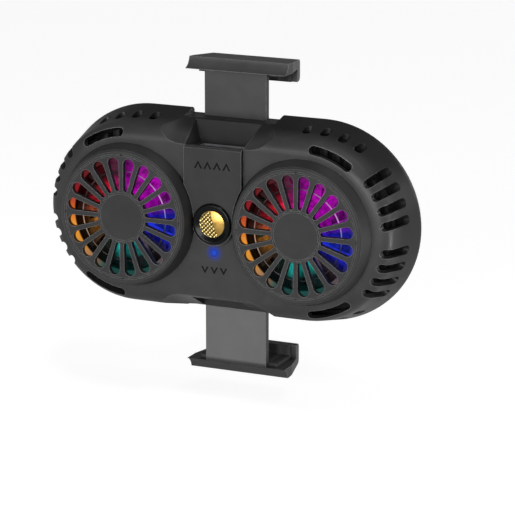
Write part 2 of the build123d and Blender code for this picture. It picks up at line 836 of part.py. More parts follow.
# Hot side of each fan: module, gasket and heat sink
for name, fan_x in fans:
    with BuildPart() as cooling_module:
        with BuildSketch(face_plane(module_low, fan_x)):
            Rectangle(module_size, module_size)
        extrude(amount=module_height)
    save(cooling_module, f"{name}_cooling_module")

    with BuildPart() as foam_gasket:
        with BuildSketch(face_plane(flange_top, fan_x)):
            Rectangle(gasket_size, gasket_size)
            hole = module_size + 2 * gasket_gap
            Rectangle(hole, hole, mode=Mode.SUBTRACT)
        extrude(amount=module_top - flange_top)
    save(foam_gasket, f"{name}_foam_gasket")

    with BuildPart() as heat_sink:
        with BuildSketch(face_plane(module_top, fan_x)):
            Circle(sink_radius)
        extrude(amount=fin_low - module_top)
        with BuildSketch(face_plane(fin_low, fan_x)):
            with GridLocations(sink_fin_pitch, 0, sink_fin_count, 1):
                Rectangle(sink_fin_thickness, 2 * sink_radius)
            Circle(sink_radius, mode=Mode.INTERSECT)
        extrude(amount=sink_fin_height)
        for place in post_places:
            with BuildSketch(face_plane(0, place[0], place[1])):
                Circle(post_radius + sink_gap / 2)
            extrude(amount=front_height, mode=Mode.SUBTRACT)
        inward = -1 if fan_x > 0 else 1
        cut_width = half_spacing - sink_inner_x
        with BuildSketch(face_plane(0, fan_x)):
            with Locations((inward * (cut_width + end_radius / 2), 0)):
                Rectangle(end_radius, 2 * end_radius)
        extrude(amount=front_height, mode=Mode.SUBTRACT)
    save(heat_sink, f"{name}_heat_sink")


def make_blade(x):
    """One impeller blade, lofted from a steep root to a flat swept tip."""
    root = hub_radius - hub_wall / 2
    reach = tip_radius + tip_gap
    middle = (blade_low + blade_top) / 2
    half_height = (blade_top - blade_low) / 2
    with BuildPart() as blade:
        for radius, chord, sweep in (
            (root, blade_root_chord, 0),
            (reach, blade_tip_chord, blade_tip_sweep),
        ):
            plane = Plane(origin=(x + radius, -middle, 0), x_dir=(0, 0, 1), z_dir=(1, 0, 0))
            half = chord / 2
            wide = blade_thickness * math.hypot(chord, 2 * half_height) / (2 * half_height)
            with BuildSketch(plane):
                with BuildLine():
                    Polyline(
                        (sweep - half, -half_height),
                        (sweep - wide / 2 + blade_camber, -blade_camber),
                        (sweep + half - wide, half_height),
                        (sweep + half, half_height),
                        (sweep + wide / 2 + blade_camber, -blade_camber),
                        (sweep - half + wide, -half_height),
                        close=True,
                    )
                make_face()
        loft(ruled=True)
        with BuildSketch(face_plane(blade_low, x)):
            Circle(tip_radius)
            Circle(hub_radius - hub_wall / 2, mode=Mode.SUBTRACT)
        extrude(amount=blade_top - blade_low, mode=Mode.INTERSECT)
    return blade.part


# Fans, from the frame up to the grille
for name, fan_x in fans:
    with BuildPart() as fan_frame:
        with BuildSketch(face_plane(fin_top, fan_x)):
            Circle(frame_outer)
            Circle(frame_inner, mode=Mode.SUBTRACT)
        extrude(amount=frame_top - fin_top)
        with BuildSketch(face_plane(fin_top, fan_x)):
            Circle(motor_plate_radius)
            spoke_length = frame_inner + frame_wall / 2
            with PolarLocations(spoke_length / 2, spoke_count):
                Rectangle(spoke_length, spoke_width)
        extrude(amount=motor_plate_thickness)
        with BuildSketch(face_plane(fin_top, fan_x)):
            Circle(tube_outer)
        extrude(amount=tube_top - fin_top)
        with BuildSketch(face_plane(bearing_low, fan_x)):
            Circle(tube_inner)
        extrude(amount=tube_top - bearing_low, mode=Mode.SUBTRACT)
    save(fan_frame, f"{name}_fan_frame")

    bearing_bore = shaft_radius + shaft_fit
    bearing = make_ring(bearing_radius, bearing_bore, bearing_low, bearing_top, fan_x)
    save(bearing, f"{name}_bearing")

    with BuildPart() as stator:
        with BuildSketch(face_plane(motor_plate_top, fan_x)):
            Circle(tube_outer + stator_core_wall)
            Circle(tube_outer, mode=Mode.SUBTRACT)
        extrude(amount=stator_foot)
        with BuildSketch(face_plane(motor_plate_top + stator_foot, fan_x)):
            Circle(stator_outer)
            with PolarLocations(stator_outer, stator_pole_count, start_angle=45):
                Rectangle(stator_pole_width, stator_pole_width, mode=Mode.SUBTRACT)
            Circle(tube_outer, mode=Mode.SUBTRACT)
        extrude(amount=stator_height)
    save(stator, f"{name}_stator")

    with BuildPart() as impeller:
        with BuildSketch(turning_plane(fan_x)):
            with BuildLine():
                Polyline(
                    (shaft_radius, hub_top_face),
                    (hub_radius, hub_top_face),
                    (hub_radius, hub_low),
                    (magnet_outer, hub_low),
                    (magnet_outer, hub_under),
                    (hub_boss_radius, hub_under),
                    (hub_boss_radius, boss_low),
                    (shaft_radius, boss_low),
                    close=True,
                )
            make_face()
        revolve(axis=turning_axis(fan_x))
        blade = make_blade(fan_x)
        for index in range(blade_count):
            add(blade.rotate(turning_axis(fan_x), index * 360 / blade_count))
    save(impeller, f"{name}_impeller")

    shaft = make_ring(shaft_radius, 0, bearing_low, hub_top_face, fan_x)
    save(shaft, f"{name}_rotor_shaft")

    magnet_low = hub_low + magnet_inset
    magnet = make_ring(magnet_outer, magnet_inner, magnet_low, boss_low, fan_x)
    save(magnet, f"{name}_rotor_magnet")

    with BuildPart() as led_ring:
        board_outer = frame_outer
        board_inner = frame_outer - led_board_width
        with BuildSketch(face_plane(frame_top, fan_x)):
            Circle(board_outer)
            Circle(board_inner, mode=Mode.SUBTRACT)
        extrude(amount=led_board_thickness)
        chip_radius = frame_outer - led_board_width / 2
        with BuildSketch(face_plane(light_ring_low, fan_x)):
            with PolarLocations(chip_radius, led_chip_count):
                Rectangle(led_chip_width, led_chip_length)
        extrude(amount=led_chip_height)
    save(led_ring, f"{name}_led_ring")

    groove_inner = chip_radius - light_ring_groove_width / 2
    groove_outer = chip_radius + light_ring_groove_width / 2
    groove_top = light_ring_low + light_ring_groove
    with BuildPart() as light_ring:
        with BuildSketch(turning_plane(fan_x)):
            with BuildLine():
                Polyline(
                    (light_ring_inner, light_ring_low),
                    (groove_inner, light_ring_low),
                    (groove_inner, groove_top),
                    (groove_outer, groove_top),
                    (groove_outer, light_ring_low),
                    (frame_outer + frame_gap, light_ring_low),
                    (frame_outer + frame_gap, grille_under),
                    (light_ring_inner, grille_under),
                    close=True,
                )
            make_face()
        revolve(axis=turning_axis(fan_x))
    save(light_ring, f"{name}_light_ring")

    with BuildSketch() as teardrop:
        with Locations((slot_inner_radius, 0)):
            Circle(slot_inner_end)
        with Locations((slot_outer_radius, 0)):
            Circle(slot_outer_end)
        make_hull()
    with BuildPart() as grille:
        with BuildSketch(turning_plane(fan_x)):
            with BuildLine():
                Polyline(
                    (0, total_height),
                    (grille_radius, total_height),
                    (drum_base_radius, front_height),
                    (spigot_radius, front_height),
                    (spigot_radius, front_height - spigot_depth),
                    (spigot_inner, front_height - spigot_depth),
                    (spigot_inner, grille_under),
                    (0, grille_under),
                    close=True,
                )
            make_face()
        revolve(axis=turning_axis(fan_x))
        chamfer(grille.faces().sort_by(Axis.Y)[0].edges(), grille_edge)
        with BuildSketch(face_plane(total_height, fan_x)):
            Circle(groove_radius + groove_width / 2)
            Circle(groove_radius - groove_width / 2, mode=Mode.SUBTRACT)
            Circle(hub_groove_radius + groove_width / 2)
            Circle(hub_groove_radius - groove_width / 2, mode=Mode.SUBTRACT)
        extrude(amount=-groove_depth, mode=Mode.SUBTRACT)
        slot_start = 180 / slot_count
        with BuildSketch(face_plane(grille_under, fan_x)):
            with PolarLocations(0, slot_count, start_angle=slot_start):
                add(teardrop.sketch)
        extrude(amount=grille_thickness, mode=Mode.SUBTRACT)
    save(grille, f"{name}_grille")

# Channel that guides the arms and carries the gear
with BuildPart() as clamp_cage:
    with BuildSketch(face_plane(floor_wall)):
        with Locations(((cage_inner + cage_outer) / 2, 0), (-(cage_inner + cage_outer) / 2, 0)):
            Rectangle(cage_wall, 2 * cage_rail_half_length)
    extrude(amount=rack_top - floor_wall)
    with BuildSketch(face_plane(rack_top)):
        with Locations(((cage_inner + cage_outer) / 2, 0), (-(cage_inner + cage_outer) / 2, 0)):
            Rectangle(cage_wall, 2 * cage_half_length)
    extrude(amount=cage_low - rack_top)
    with BuildSketch(face_plane(cage_low)):
        Rectangle(2 * cage_outer, 2 * cage_half_length)
    extrude(amount=cage_thickness)
    with BuildSketch(face_plane(cage_top)):
        with GridLocations(2 * standoff_x, 2 * standoff_z, 2, 2):
            Circle(standoff_radius)
    extrude(amount=board_standoff)
    with BuildSketch(face_plane(cage_low, 0, clamp_z)):
        Circle(pin_radius)
    extrude(amount=cage_thickness, mode=Mode.SUBTRACT)
save(clamp_cage, "clamp_cage")

with BuildPart() as pinion_pin:
    with BuildSketch(face_plane(pin_low, 0, clamp_z)):
        Circle(pin_head_radius)
    extrude(amount=pin_head_height)
    with BuildSketch(face_plane(pin_low, 0, clamp_z)):
        Circle(pin_radius)
    extrude(amount=cage_top - pin_low)
save(pinion_pin, "pinion_pin")


def flank_angle(radius):
    """Half angle of an involute gear tooth at a radius, in radians."""
    base_radius = gear_pitch_radius * math.cos(math.radians(pressure_angle))
    tooth = rack_pitch / 2 - tooth_backlash
    half_angle = tooth / (2 * gear_pitch_radius)
    pressure = math.radians(pressure_angle)
    local = math.acos(min(base_radius / radius, 1))
    involute = math.tan(local) - local
    return half_angle + math.tan(pressure) - pressure - involute


with BuildPart() as sync_pinion:
    root_radius = gear_pitch_radius - gear_dedendum
    base_circle = gear_pitch_radius * math.cos(math.radians(pressure_angle))
    middle_radius = (gear_pitch_radius + gear_outer) / 2
    flank_radii = (root_radius, base_circle, gear_pitch_radius, middle_radius, gear_outer)
    outline = []
    for tooth in range(gear_teeth):
        centre = math.tau * tooth / gear_teeth
        for radius in flank_radii:
            angle = centre - flank_angle(max(radius, base_circle))
            outline.append((radius * math.cos(angle), radius * math.sin(angle)))
        for radius in reversed(flank_radii):
            angle = centre + flank_angle(max(radius, base_circle))
            outline.append((radius * math.cos(angle), radius * math.sin(angle)))
    with BuildSketch(face_plane(pinion_low, 0, clamp_z)):
        with BuildLine():
            Polyline(*outline, close=True)
        make_face()
        Circle(pin_radius + running_gap, mode=Mode.SUBTRACT)
    extrude(amount=rack_top - pinion_low)
save(sync_pinion, "sync_pinion")


# Outline of the rack bar with its teeth, in the face plane of an arm
flank_slope = math.tan(math.radians(pressure_angle))
rack_tooth_half = rack_pitch / 4 - tooth_backlash / 2
rack_tip_x = -gear_pitch_radius + rack_addendum
rack_root_x = -gear_pitch_radius - rack_dedendum
rack_tip_half = rack_tooth_half - rack_addendum * flank_slope
rack_root_half = rack_tooth_half + rack_dedendum * flank_slope
first_tooth = -math.floor((rack_below - rack_root_half) / rack_pitch + 1 / 2)
last_tooth = math.floor((rack_above - rack_root_half) / rack_pitch - 1 / 2)
rack_outline = [(-rack_back, -rack_below), (rack_root_x, -rack_below)]
for index in range(first_tooth, last_tooth + 1):
    level = (index + 1 / 2) * rack_pitch
    rack_outline.append((rack_root_x, level - rack_root_half))
    rack_outline.append((rack_tip_x, level - rack_tip_half))
    rack_outline.append((rack_tip_x, level + rack_tip_half))
    rack_outline.append((rack_root_x, level + rack_root_half))
rack_outline += [(rack_root_x, rack_above), (-rack_back, rack_above)]

# Clamp arms with their jaws and pads
for name, side in clamps:
    with BuildPart() as jaw:
        with BuildSketch(clamp_section_plane(side)):
            with BuildLine():
                lip = (jaw_inner, jaw_front_height)
                brow = (jaw_outer, jaw_front_height - jaw_front_slant)
                SagittaArc(lip, brow, -jaw_front_sag)
                Polyline(
                    brow,
                    (jaw_hook_tip + jaw_hook + jaw_wall_back, jaw_back_height),
                    (jaw_hook_tip, jaw_back_height),
                    (jaw_hook_tip, jaw_hook_face),
                    (jaw_inner, jaw_hook_face),
                    lip,
                )
            make_face()
        extrude(amount=jaw_front_width / 2, both=True)
        fillet(jaw.edges().filter_by(Axis.X).group_by(Axis.Y)[-1], jaw_edge_radius)
        with BuildSketch(clamp_plan_plane(side)):
            with BuildLine():
                straight = jaw_front_height - jaw_front_slant - jaw_straight_depth
                half_front = jaw_front_width / 2
                half_back = jaw_back_width / 2
                Polyline(
                    (half_front, jaw_front_height),
                    (half_front, straight),
                    (half_back, jaw_back_height),
                    (-half_back, jaw_back_height),
                    (-half_front, straight),
                    (-half_front, jaw_front_height),
                    close=True,
                )
            make_face()
        extrude(amount=2 * jaw_outer, both=True, mode=Mode.INTERSECT)
    with BuildPart() as arm:
        with BuildSketch(clamp_face_plane(arm_low, side)):
            with Locations((0, (arm_inner_end + jaw_inner) / 2)):
                Rectangle(arm_width, jaw_inner - arm_inner_end)
            slot_end = arm_inner_end + spring_slot_length
            with Locations((0, (arm_inner_end - overrun + slot_end) / 2)):
                slot_length = spring_slot_length + overrun
                Rectangle(spring_slot_width, slot_length, mode=Mode.SUBTRACT)
        extrude(amount=arm_thickness)
        with BuildSketch(clamp_face_plane(rack_low, side)):
            with BuildLine():
                Polyline(*rack_outline, close=True)
            make_face()
        extrude(amount=rack_thickness)
        with BuildSketch(clamp_face_plane(arm_top, side)):
            with Locations(((rack_root_x - rack_back) / 2, (arm_inner_end + rack_above) / 2)):
                Rectangle(rack_back + rack_root_x, rack_above - arm_inner_end)
        extrude(amount=rack_low - arm_top)
        add(jaw.part)
    save(arm, f"{name}_arm")

    with BuildPart() as jaw_pad:
        pad_top = arm_low - slide_gap
        with BuildSketch(clamp_section_plane(side)):
            with BuildLine():
                Polyline(
                    (pad_face, pad_top),
                    (jaw_inner, pad_top),
                    (jaw_inner, jaw_hook_face),
                    (jaw_hook_tip, jaw_hook_face),
                    (jaw_hook_tip, pad_lip_face),
                    (pad_face, pad_lip_face),
                    close=True,
                )
            make_face()
        extrude(amount=jaw_back_width / 2 - pad_thickness, both=True)
    save(jaw_pad, f"{name}_jaw_pad")

# Tension spring between the two arms
with BuildPart() as clamp_spring:
    spring_half = arm_inner_end + spring_slot_length
    spring_height = (arm_low + arm_top) / 2
    plane = Plane(origin=(0, -spring_height, clamp_z - spring_half), z_dir=(0, 0, 1))
    with BuildSketch(plane):
        Circle(spring_radius)
        Circle(spring_radius - 2 * spring_wire_radius, mode=Mode.SUBTRACT)
    extrude(amount=2 * spring_half)
save(clamp_spring, "clamp_spring")
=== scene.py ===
import math

import bmesh
import bpy
from mathutils import Matrix, Vector


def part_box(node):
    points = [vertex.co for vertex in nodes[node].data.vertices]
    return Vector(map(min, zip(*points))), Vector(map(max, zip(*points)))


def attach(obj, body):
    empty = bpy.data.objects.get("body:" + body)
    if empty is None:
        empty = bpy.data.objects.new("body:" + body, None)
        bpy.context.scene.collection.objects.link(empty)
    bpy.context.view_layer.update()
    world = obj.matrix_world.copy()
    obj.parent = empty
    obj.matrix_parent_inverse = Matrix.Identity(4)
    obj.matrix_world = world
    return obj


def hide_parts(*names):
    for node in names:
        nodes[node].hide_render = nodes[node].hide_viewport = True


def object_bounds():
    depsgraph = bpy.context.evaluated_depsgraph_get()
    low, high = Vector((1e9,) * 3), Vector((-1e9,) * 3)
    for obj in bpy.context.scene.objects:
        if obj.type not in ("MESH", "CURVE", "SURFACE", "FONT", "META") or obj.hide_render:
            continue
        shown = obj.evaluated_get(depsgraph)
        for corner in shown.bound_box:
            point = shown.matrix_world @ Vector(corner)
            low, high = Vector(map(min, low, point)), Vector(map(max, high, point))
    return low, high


# Looks of the twin-fan phone cooler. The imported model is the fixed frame: X runs along the
# body, +Y points at the phone, +Z is up and the origin is the middle of the cold face.
# Sizes are in metres and repeat the named values of the part's source.

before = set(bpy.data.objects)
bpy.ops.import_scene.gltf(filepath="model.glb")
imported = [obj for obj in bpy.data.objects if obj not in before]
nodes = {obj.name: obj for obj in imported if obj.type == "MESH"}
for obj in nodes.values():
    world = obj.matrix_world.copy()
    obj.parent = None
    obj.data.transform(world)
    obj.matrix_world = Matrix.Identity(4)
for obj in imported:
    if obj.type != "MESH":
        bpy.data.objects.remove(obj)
cad_low, cad_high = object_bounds()

MM = 0.001

# Fans and grilles
FAN_X = 25.0 * MM
FACE = -20.5 * MM
GRILLE_UNDER = FACE + 1.4 * MM
KEY_DOT_RADIUS = 16.75 * MM
BACK_RING_RADIUS = 12.2 * MM
BACK_RING_TUBE = 0.15 * MM
BORE_RADIUS = 16.3 * MM

# Front shell, centre panel and status light
SHELL_FACE = -16.3 * MM
PANEL_FACE = -17.3 * MM
LIGHT_Z = -8.0 * MM
LIGHT_REACH = 2.0 * MM
PAINTED_HALO_REACH = 2.8 * MM

# Lower arm's bare plate, above its jaw, whose front face carries a painted pool of light
PLATE_LOW = -41.8 * MM
PLATE_HALF = 8.9 * MM
PLATE_FACE = -2.80 * MM
PLATE_BAND = 0.1 * MM

# Painted highlight along the edges: its width, how far the softened surface leans from the flat
# one where the highlight starts and is full, and the size of its patches
EDGE_HIGHLIGHT_WIDTH = 0.34 * MM
EDGE_HIGHLIGHT_STARTS = 0.99
EDGE_HIGHLIGHT_FULL = 0.90
EDGE_HIGHLIGHT_PATCH = 1.2 * MM

# Painted shade in hollows: how far apart their walls stand, how open they are where the colour
# starts to fall and where it has fallen, and the share that it falls to
HOLLOW_REACH = 3.5 * MM
HOLLOW_OPEN = 0.80
HOLLOW_SHUT = 0.30
HOLLOW_SHADE_SHARE = 0.15

# Painted shade on the walls: their colour falls behind the shoulder, between two depths, to a
# share of the front's
WALL_FRONT = -14.0 * MM
WALL_BACK = -8.5 * MM
SHELL_WALL_SHADE_SHARE = 0.38
REAR_WALL_SHADE_SHARE = 0.456

# Values between which most of a noise lies
NOISE_LOW = 0.3
NOISE_HIGH = 0.7


# Shader helpers


class Nodes:
    """A node tree, with short names for what the looks are made of."""

    def __init__(self, tree):
        self.tree = tree

    def node(self, kind, operation=None, **inputs):
        made = self.tree.nodes.new(kind)
        if operation:
            made.operation = operation
        for key, value in inputs.items():
            self.set(made.inputs[key.replace("_", " ")], value)
        return made

    def set(self, socket, value):
        if isinstance(value, bpy.types.NodeSocket):
            self.tree.links.new(value, socket)
        else:
            socket.default_value = value

    def math(self, operation, *values):
        made = self.node("ShaderNodeMath", operation)
        for socket, value in zip(made.inputs, values):
            self.set(socket, value)
        return made.outputs[0]

    def vector_math(self, operation, first, second):
        made = self.node("ShaderNodeVectorMath", operation)
        self.set(made.inputs[0], first)
        self.set(made.inputs[1], second)
        return made.outputs

    def remap(self, value, source, target=(0.0, 1.0), smooth=False):
        """A value carried from one range to another, and held within it."""
        made = self.node("ShaderNodeMapRange", Value=value)
        if smooth:
            made.interpolation_type = "SMOOTHSTEP"
        bounds = ("From Min", "From Max", "To Min", "To Max")
        for name, bound in zip(bounds, (*source, *target)):
            self.set(made.inputs[name], bound)
        return made.outputs["Result"]

    def split(self, place):
        """The X, Y and Z of a place."""
        made = self.node("ShaderNodeSeparateXYZ", Vector=place)
        return made.outputs["X"], made.outputs["Y"], made.outputs["Z"]

    def seen_as_backdrop(self, gloss):
        """One for a ray from the camera or through glass, a share for a mirrored one and
        nought for the rays that light the object."""
        paths = self.node("ShaderNodeLightPath").outputs
        mirrored = self.math("MULTIPLY", paths["Is Glossy Ray"], gloss)
        seen = self.math("MAXIMUM", paths["Is Camera Ray"], mirrored)
        return self.math("MAXIMUM", seen, paths["Is Transmission Ray"])


class Look(Nodes):
    """A material whose colour, roughness and bump come from nodes."""

    def __init__(self, name, color, roughness, metallic=0.0, specular=0.5):
        self.material = bpy.data.materials.new(name)
        self.material.use_nodes = True
        super().__init__(self.material.node_tree)
        self.shader = self.tree.nodes["Principled BSDF"]
        self.color = color
        self.roughness = roughness
        self.shader.inputs["Base Color"].default_value = (*color, 1)
        self.shader.inputs["Roughness"].default_value = roughness
        self.shader.inputs["Metallic"].default_value = metallic
        self.shader.inputs["Specular IOR Level"].default_value = specular
        self.place = self.tree.nodes.new("ShaderNodeTexCoord").outputs["Object"]
        self.bump_from = None

    def stretched(self, scale):
        """Object coordinates in metres, stretched by a scale on each axis."""
        made = self.node("ShaderNodeMapping", Vector=self.place)
        made.inputs["Scale"].default_value = scale
        return made.outputs[0]

    def noise(self, size, detail=3.0, place=None, rough=0.5):
        made = self.node(
            "ShaderNodeTexNoise",
            Vector=place if place is not None else self.place,
            Scale=1 / size,
            Detail=detail,
            Roughness=rough,
        )
        return made.outputs["Fac"]

    def ramp(self, value, stops):
        made = self.node("ShaderNodeValToRGB", Fac=value)
        elements = made.color_ramp.elements
        while len(elements) < len(stops):
            elements.new(0.5)
        for element, (position, color) in zip(elements, stops):
            element.position = position
            element.color = (*color, 1)
        return made.outputs["Color"]

    def mixed(self, factor, first, second):
        made = self.node("ShaderNodeMix")
        made.data_type = "RGBA"
        self.set(made.inputs[0], factor)
        self.set(made.inputs[6], first)
        self.set(made.inputs[7], second)
        return made.outputs[2]

    def tint(self, factor, color):
        """Lets a colour show over the present one, by a factor."""
        socket = self.shader.inputs["Base Color"]
        under = socket.links[0].from_socket if socket.links else (*self.color, 1)
        self.set(socket, self.mixed(factor, under, color))
        return self

    def shade(self, share):
        """The look's own colour at a share of its level."""
        return (*(channel * share for channel in self.color), 1)

    def vary(self, size, amount):
        """Lets the colour drift by a share, in patches of a size."""
        low = self.shade(1 - amount)[:3]
        high = self.shade(1 + amount)[:3]
        color = self.ramp(self.noise(size, 4), ((NOISE_LOW, low), (NOISE_HIGH, high)))
        self.set(self.shader.inputs["Base Color"], color)
        return self

    def scuff(self, size, amount):
        """Lets the roughness drift by an amount, in patches of a size."""
        target = (self.roughness - amount, self.roughness + amount)
        drift = self.remap(self.noise(size, 5), (NOISE_LOW, NOISE_HIGH), target)
        self.set(self.shader.inputs["Roughness"], drift)
        return self

    def bump(self, height, depth, strength=1.0):
        """Adds a bump of a depth in metres, on top of those added before."""
        made = self.node("ShaderNodeBump", Height=height, Distance=depth, Strength=strength)
        if self.bump_from is not None:
            self.set(made.inputs["Normal"], self.bump_from)
        self.bump_from = made.outputs["Normal"]
        self.set(self.shader.inputs["Normal"], self.bump_from)
        return self

    def softened(self, radius, samples):
        """The surface's direction with its edges rounded."""
        made = self.node("ShaderNodeBevel", Radius=radius)
        made.samples = samples
        return made.outputs["Normal"]

    def round_edges(self, radius):
        """Softens the edges of the hard solids in the shading."""
        self.bump_from = self.softened(radius, 4)
        self.set(self.shader.inputs["Normal"], self.bump_from)
        return self

    def paint_edge_highlight(self, radius, level):
        """Paints a highlight along the edges in a pale grey."""
        flat = self.node("ShaderNodeNewGeometry").outputs["Normal"]
        facing = self.vector_math("DOT_PRODUCT", self.softened(radius, 8), flat)["Value"]
        edge = self.remap(facing, (EDGE_HIGHLIGHT_STARTS, EDGE_HIGHLIGHT_FULL))
        patchy = self.math("MULTIPLY", edge, self.noise(EDGE_HIGHLIGHT_PATCH, 3))
        return self.tint(patchy, (level, level, level, 1))

    def paint_hollow_shade(self):
        """Paints shade where the surface lies in a hollow, by letting the colour fall there."""
        made = self.node("ShaderNodeAmbientOcclusion", Distance=HOLLOW_REACH)
        made.samples = 6
        depth = self.remap(made.outputs["AO"], (HOLLOW_OPEN, HOLLOW_SHUT))
        return self.tint(depth, self.shade(HOLLOW_SHADE_SHARE))

    def paint_wall_shade(self, share):
        """Paints shade on the walls: the colour falls to a share of itself from the shoulder to
        the back.
        """
        depth = self.remap(self.split(self.place)[1], (WALL_FRONT, WALL_BACK), smooth=True)
        return self.tint(depth, self.shade(share))

    def grain(self, size, depth):
        """A fine even moulding grain."""
        return self.bump(self.noise(size, 2, rough=0.6), depth, 0.6)

    def glow(self, color, strength):
        self.set(self.shader.inputs["Emission Color"], color)
        self.set(self.shader.inputs["Emission Strength"], strength)
        return self


def moulded(
    name,
    level,
    roughness,
    grain_size=0.25 * MM,
    grain_depth=0.012 * MM,
    edge=0.18 * MM,
    specular=0.25,
    edge_highlight=0.0,
):
    """Moulded plastic with a fine grain, soft edges and slight drift in tone and gloss. The level
    is a grey or a colour, and the last argument is the grey of a painted highlight along the
    edges; when it is given, painted shade also falls in the hollows."""
    color = level if isinstance(level, tuple) else (level, level, level + 0.0005)
    look = Look(name, color, roughness, specular=specular)
    look.vary(6 * MM, 0.12)
    # Painted highlight along the edges, and painted shade in the hollows
    if edge_highlight:
        look.paint_edge_highlight(EDGE_HIGHLIGHT_WIDTH, edge_highlight)
        look.paint_hollow_shade()
    return look.scuff(3 * MM, 0.05).round_edges(edge).grain(grain_size, grain_depth)


def metal(name, color, roughness, brush=(1, 1, 1), depth=0.004 * MM):
    """Metal with fine lines along one axis, given by a scale on each axis."""
    look = Look(name, color, roughness, metallic=1.0)
    look.vary(5 * MM, 0.06).round_edges(0.1 * MM)
    look.bump(look.noise(0.2 * MM, 3, look.stretched(brush)), depth, 0.7)
    return look.scuff(2 * MM, 0.06)


# Coloured light of the fans' chips, painted as a glow on the blades, the frame and the heat sink,
# beside the light rings' own glow. The painted glow lies about a slanted axis, which moves this
# far for each unit of depth behind the grille's face. The rings are lit down to one depth and
# dark from a second, and the blades' light goes from the hub's level to the rim's between two
# radii
SLANT_X = 0.45
SLANT_Z = 0.26
RING_LIT = 1.5 * MM
RING_DARK = 2.3 * MM
HUB_LIGHT = 8.6 * MM
RIM_LIGHT = 11.6 * MM

# Hue by angle in degrees, and the strength of the glow on the blades near the hub, the blades
# near the rim, the light ring and the trim ring behind the bars; on the blades and the trim ring
# it is painted light
AMBER = (1.00, 0.40, 0.04)
EMBER = (1.00, 0.55, 0.30)
TEAL = (0.02, 1.00, 0.88)
ROSE = (1.00, 0.62, 0.72)
NAVY = (0.02, 0.02, 1.00)
BLUE = (0.02, 0.05, 1.00)
VIOLET = (0.70, 0.00, 0.80)
MAGENTA = (1.00, 0.00, 0.95)
CRIMSON = (1.00, 0.01, 0.35)
RED = (1.00, 0.01, 0.03)
FLAME = (1.00, 0.18, 0.02)
CHIP_LIGHT = (
    (-165, AMBER, 0.24, 0.012, 0.80, 0.40),
    (-145, AMBER, 0.08, 0.010, 0.60, 0.10),
    (-120, EMBER, 0.02, 0.004, 0.16, 0.02),
    (-109, TEAL, 0.03, 0.003, 0.03, 0.00),
    (-98, TEAL, 0.42, 0.006, 0.04, 0.00),
    (-82, TEAL, 0.55, 0.008, 0.05, 0.00),
    (-57, TEAL, 0.46, 0.008, 0.04, 0.00),
    (-44, ROSE, 0.07, 0.015, 0.09, 0.01),
    (-30, NAVY, 0.36, 0.180, 0.10, 0.02),
    (-8, BLUE, 0.50, 0.600, 0.30, 0.04),
    (8, NAVY, 0.36, 0.260, 0.16, 0.40),
    (24, VIOLET, 0.28, 0.320, 0.22, 0.70),
    (58, MAGENTA, 0.36, 0.380, 0.22, 0.30),
    (82, MAGENTA, 0.30, 0.190, 0.09, 0.04),
    (98, CRIMSON, 0.34, 0.075, 0.05, 0.01),
    (116, RED, 0.60, 0.030, 0.05, 0.01),
    (136, RED, 0.24, 0.014, 0.12, 0.06),
    (155, RED, 0.26, 0.015, 0.22, 0.02),
    (174, FLAME, 0.32, 0.016, 0.55, 0.30),
)


def world_place(look):
    """The place in the world, so that the painted light stays still while the blades turn."""
    return look.node("ShaderNodeNewGeometry").outputs["Position"]


def slanted(look, hand):
    """Angle about the slanted axis of a fan's light as a share of a turn, 0.5 on the right and
    rising anticlockwise, and the distance from that axis in metres."""
    x, y, z = look.split(world_place(look))
    depth = look.math("SUBTRACT", y, FACE)
    across = look.math("SUBTRACT", x, hand * FAN_X)
    across = look.math("MULTIPLY_ADD", depth, SLANT_X, across)
    up = look.math("MULTIPLY_ADD", depth, SLANT_Z, z)
    angle = look.math("ARCTAN2", up, across)
    share = look.math("MULTIPLY_ADD", angle, 1 / math.tau, 0.5)
    squares = [look.math("MULTIPLY", side, side) for side in (across, up)]
    return share, look.math("SQRT", look.math("ADD", *squares))


def round_the_turn(look, share, colors):
    """A colour by angle, from (degrees, colour) pairs, joined smoothly round the turn."""
    stops = [(angle / 360 + 0.5, color) for angle, color in colors]
    first, last = stops[0], stops[-1]
    blend = (1 - last[0]) / (first[0] + 1 - last[0])
    seam = tuple(a + (b - a) * blend for a, b in zip(last[1], first[1]))
    return look.ramp(share, [(0, seam)] + stops + [(1, seam)])


def chip_light(look, share):
    """Hue of the chips' light by angle, and its levels near the hub, near the rim and in the
    light ring."""
    hue = round_the_turn(look, share, [(row[0], row[1]) for row in CHIP_LIGHT])
    levels = round_the_turn(look, share, [(row[0], row[2:5]) for row in CHIP_LIGHT])
    return hue, look.node("ShaderNodeSeparateColor", Color=levels).outputs


def in_bore(look, hand):
    """One inside the fan's bore and nought outside it."""
    flat = look.vector_math("MULTIPLY", world_place(look), (1, 0, 1))[0]
    away = look.vector_math("DISTANCE", flat, (hand * FAN_X, 0, 0))["Value"]
    return look.math("LESS_THAN", away, BORE_RADIUS)


def lit_plastic(name, hand, color, roughness, strength):
    """Smoked plastic inside a fan, with the chips' light painted on it as a glow. Nothing outside
    the fan's bore gets the painted glow."""
    look = Look(name, color, roughness, specular=0.15)
    share, radius = slanted(look, hand)
    hue, levels = chip_light(look, share)
    level = look.remap(radius, (HUB_LIGHT, RIM_LIGHT), (levels[0], levels[1]))
    streak = look.remap(look.noise(2.0 * MM, 4, rough=0.7), (0.34, 0.66), (0.22, 1.45))
    level = look.math("MULTIPLY", level, streak)
    level = look.math("MULTIPLY", level, in_bore(look, hand))
    look.glow(hue, look.math("MULTIPLY", level, strength))
    look.vary(2 * MM, 0.15).round_edges(0.12 * MM)
    return look.bump(look.noise(0.8 * MM, 3), 0.02 * MM, 0.5)


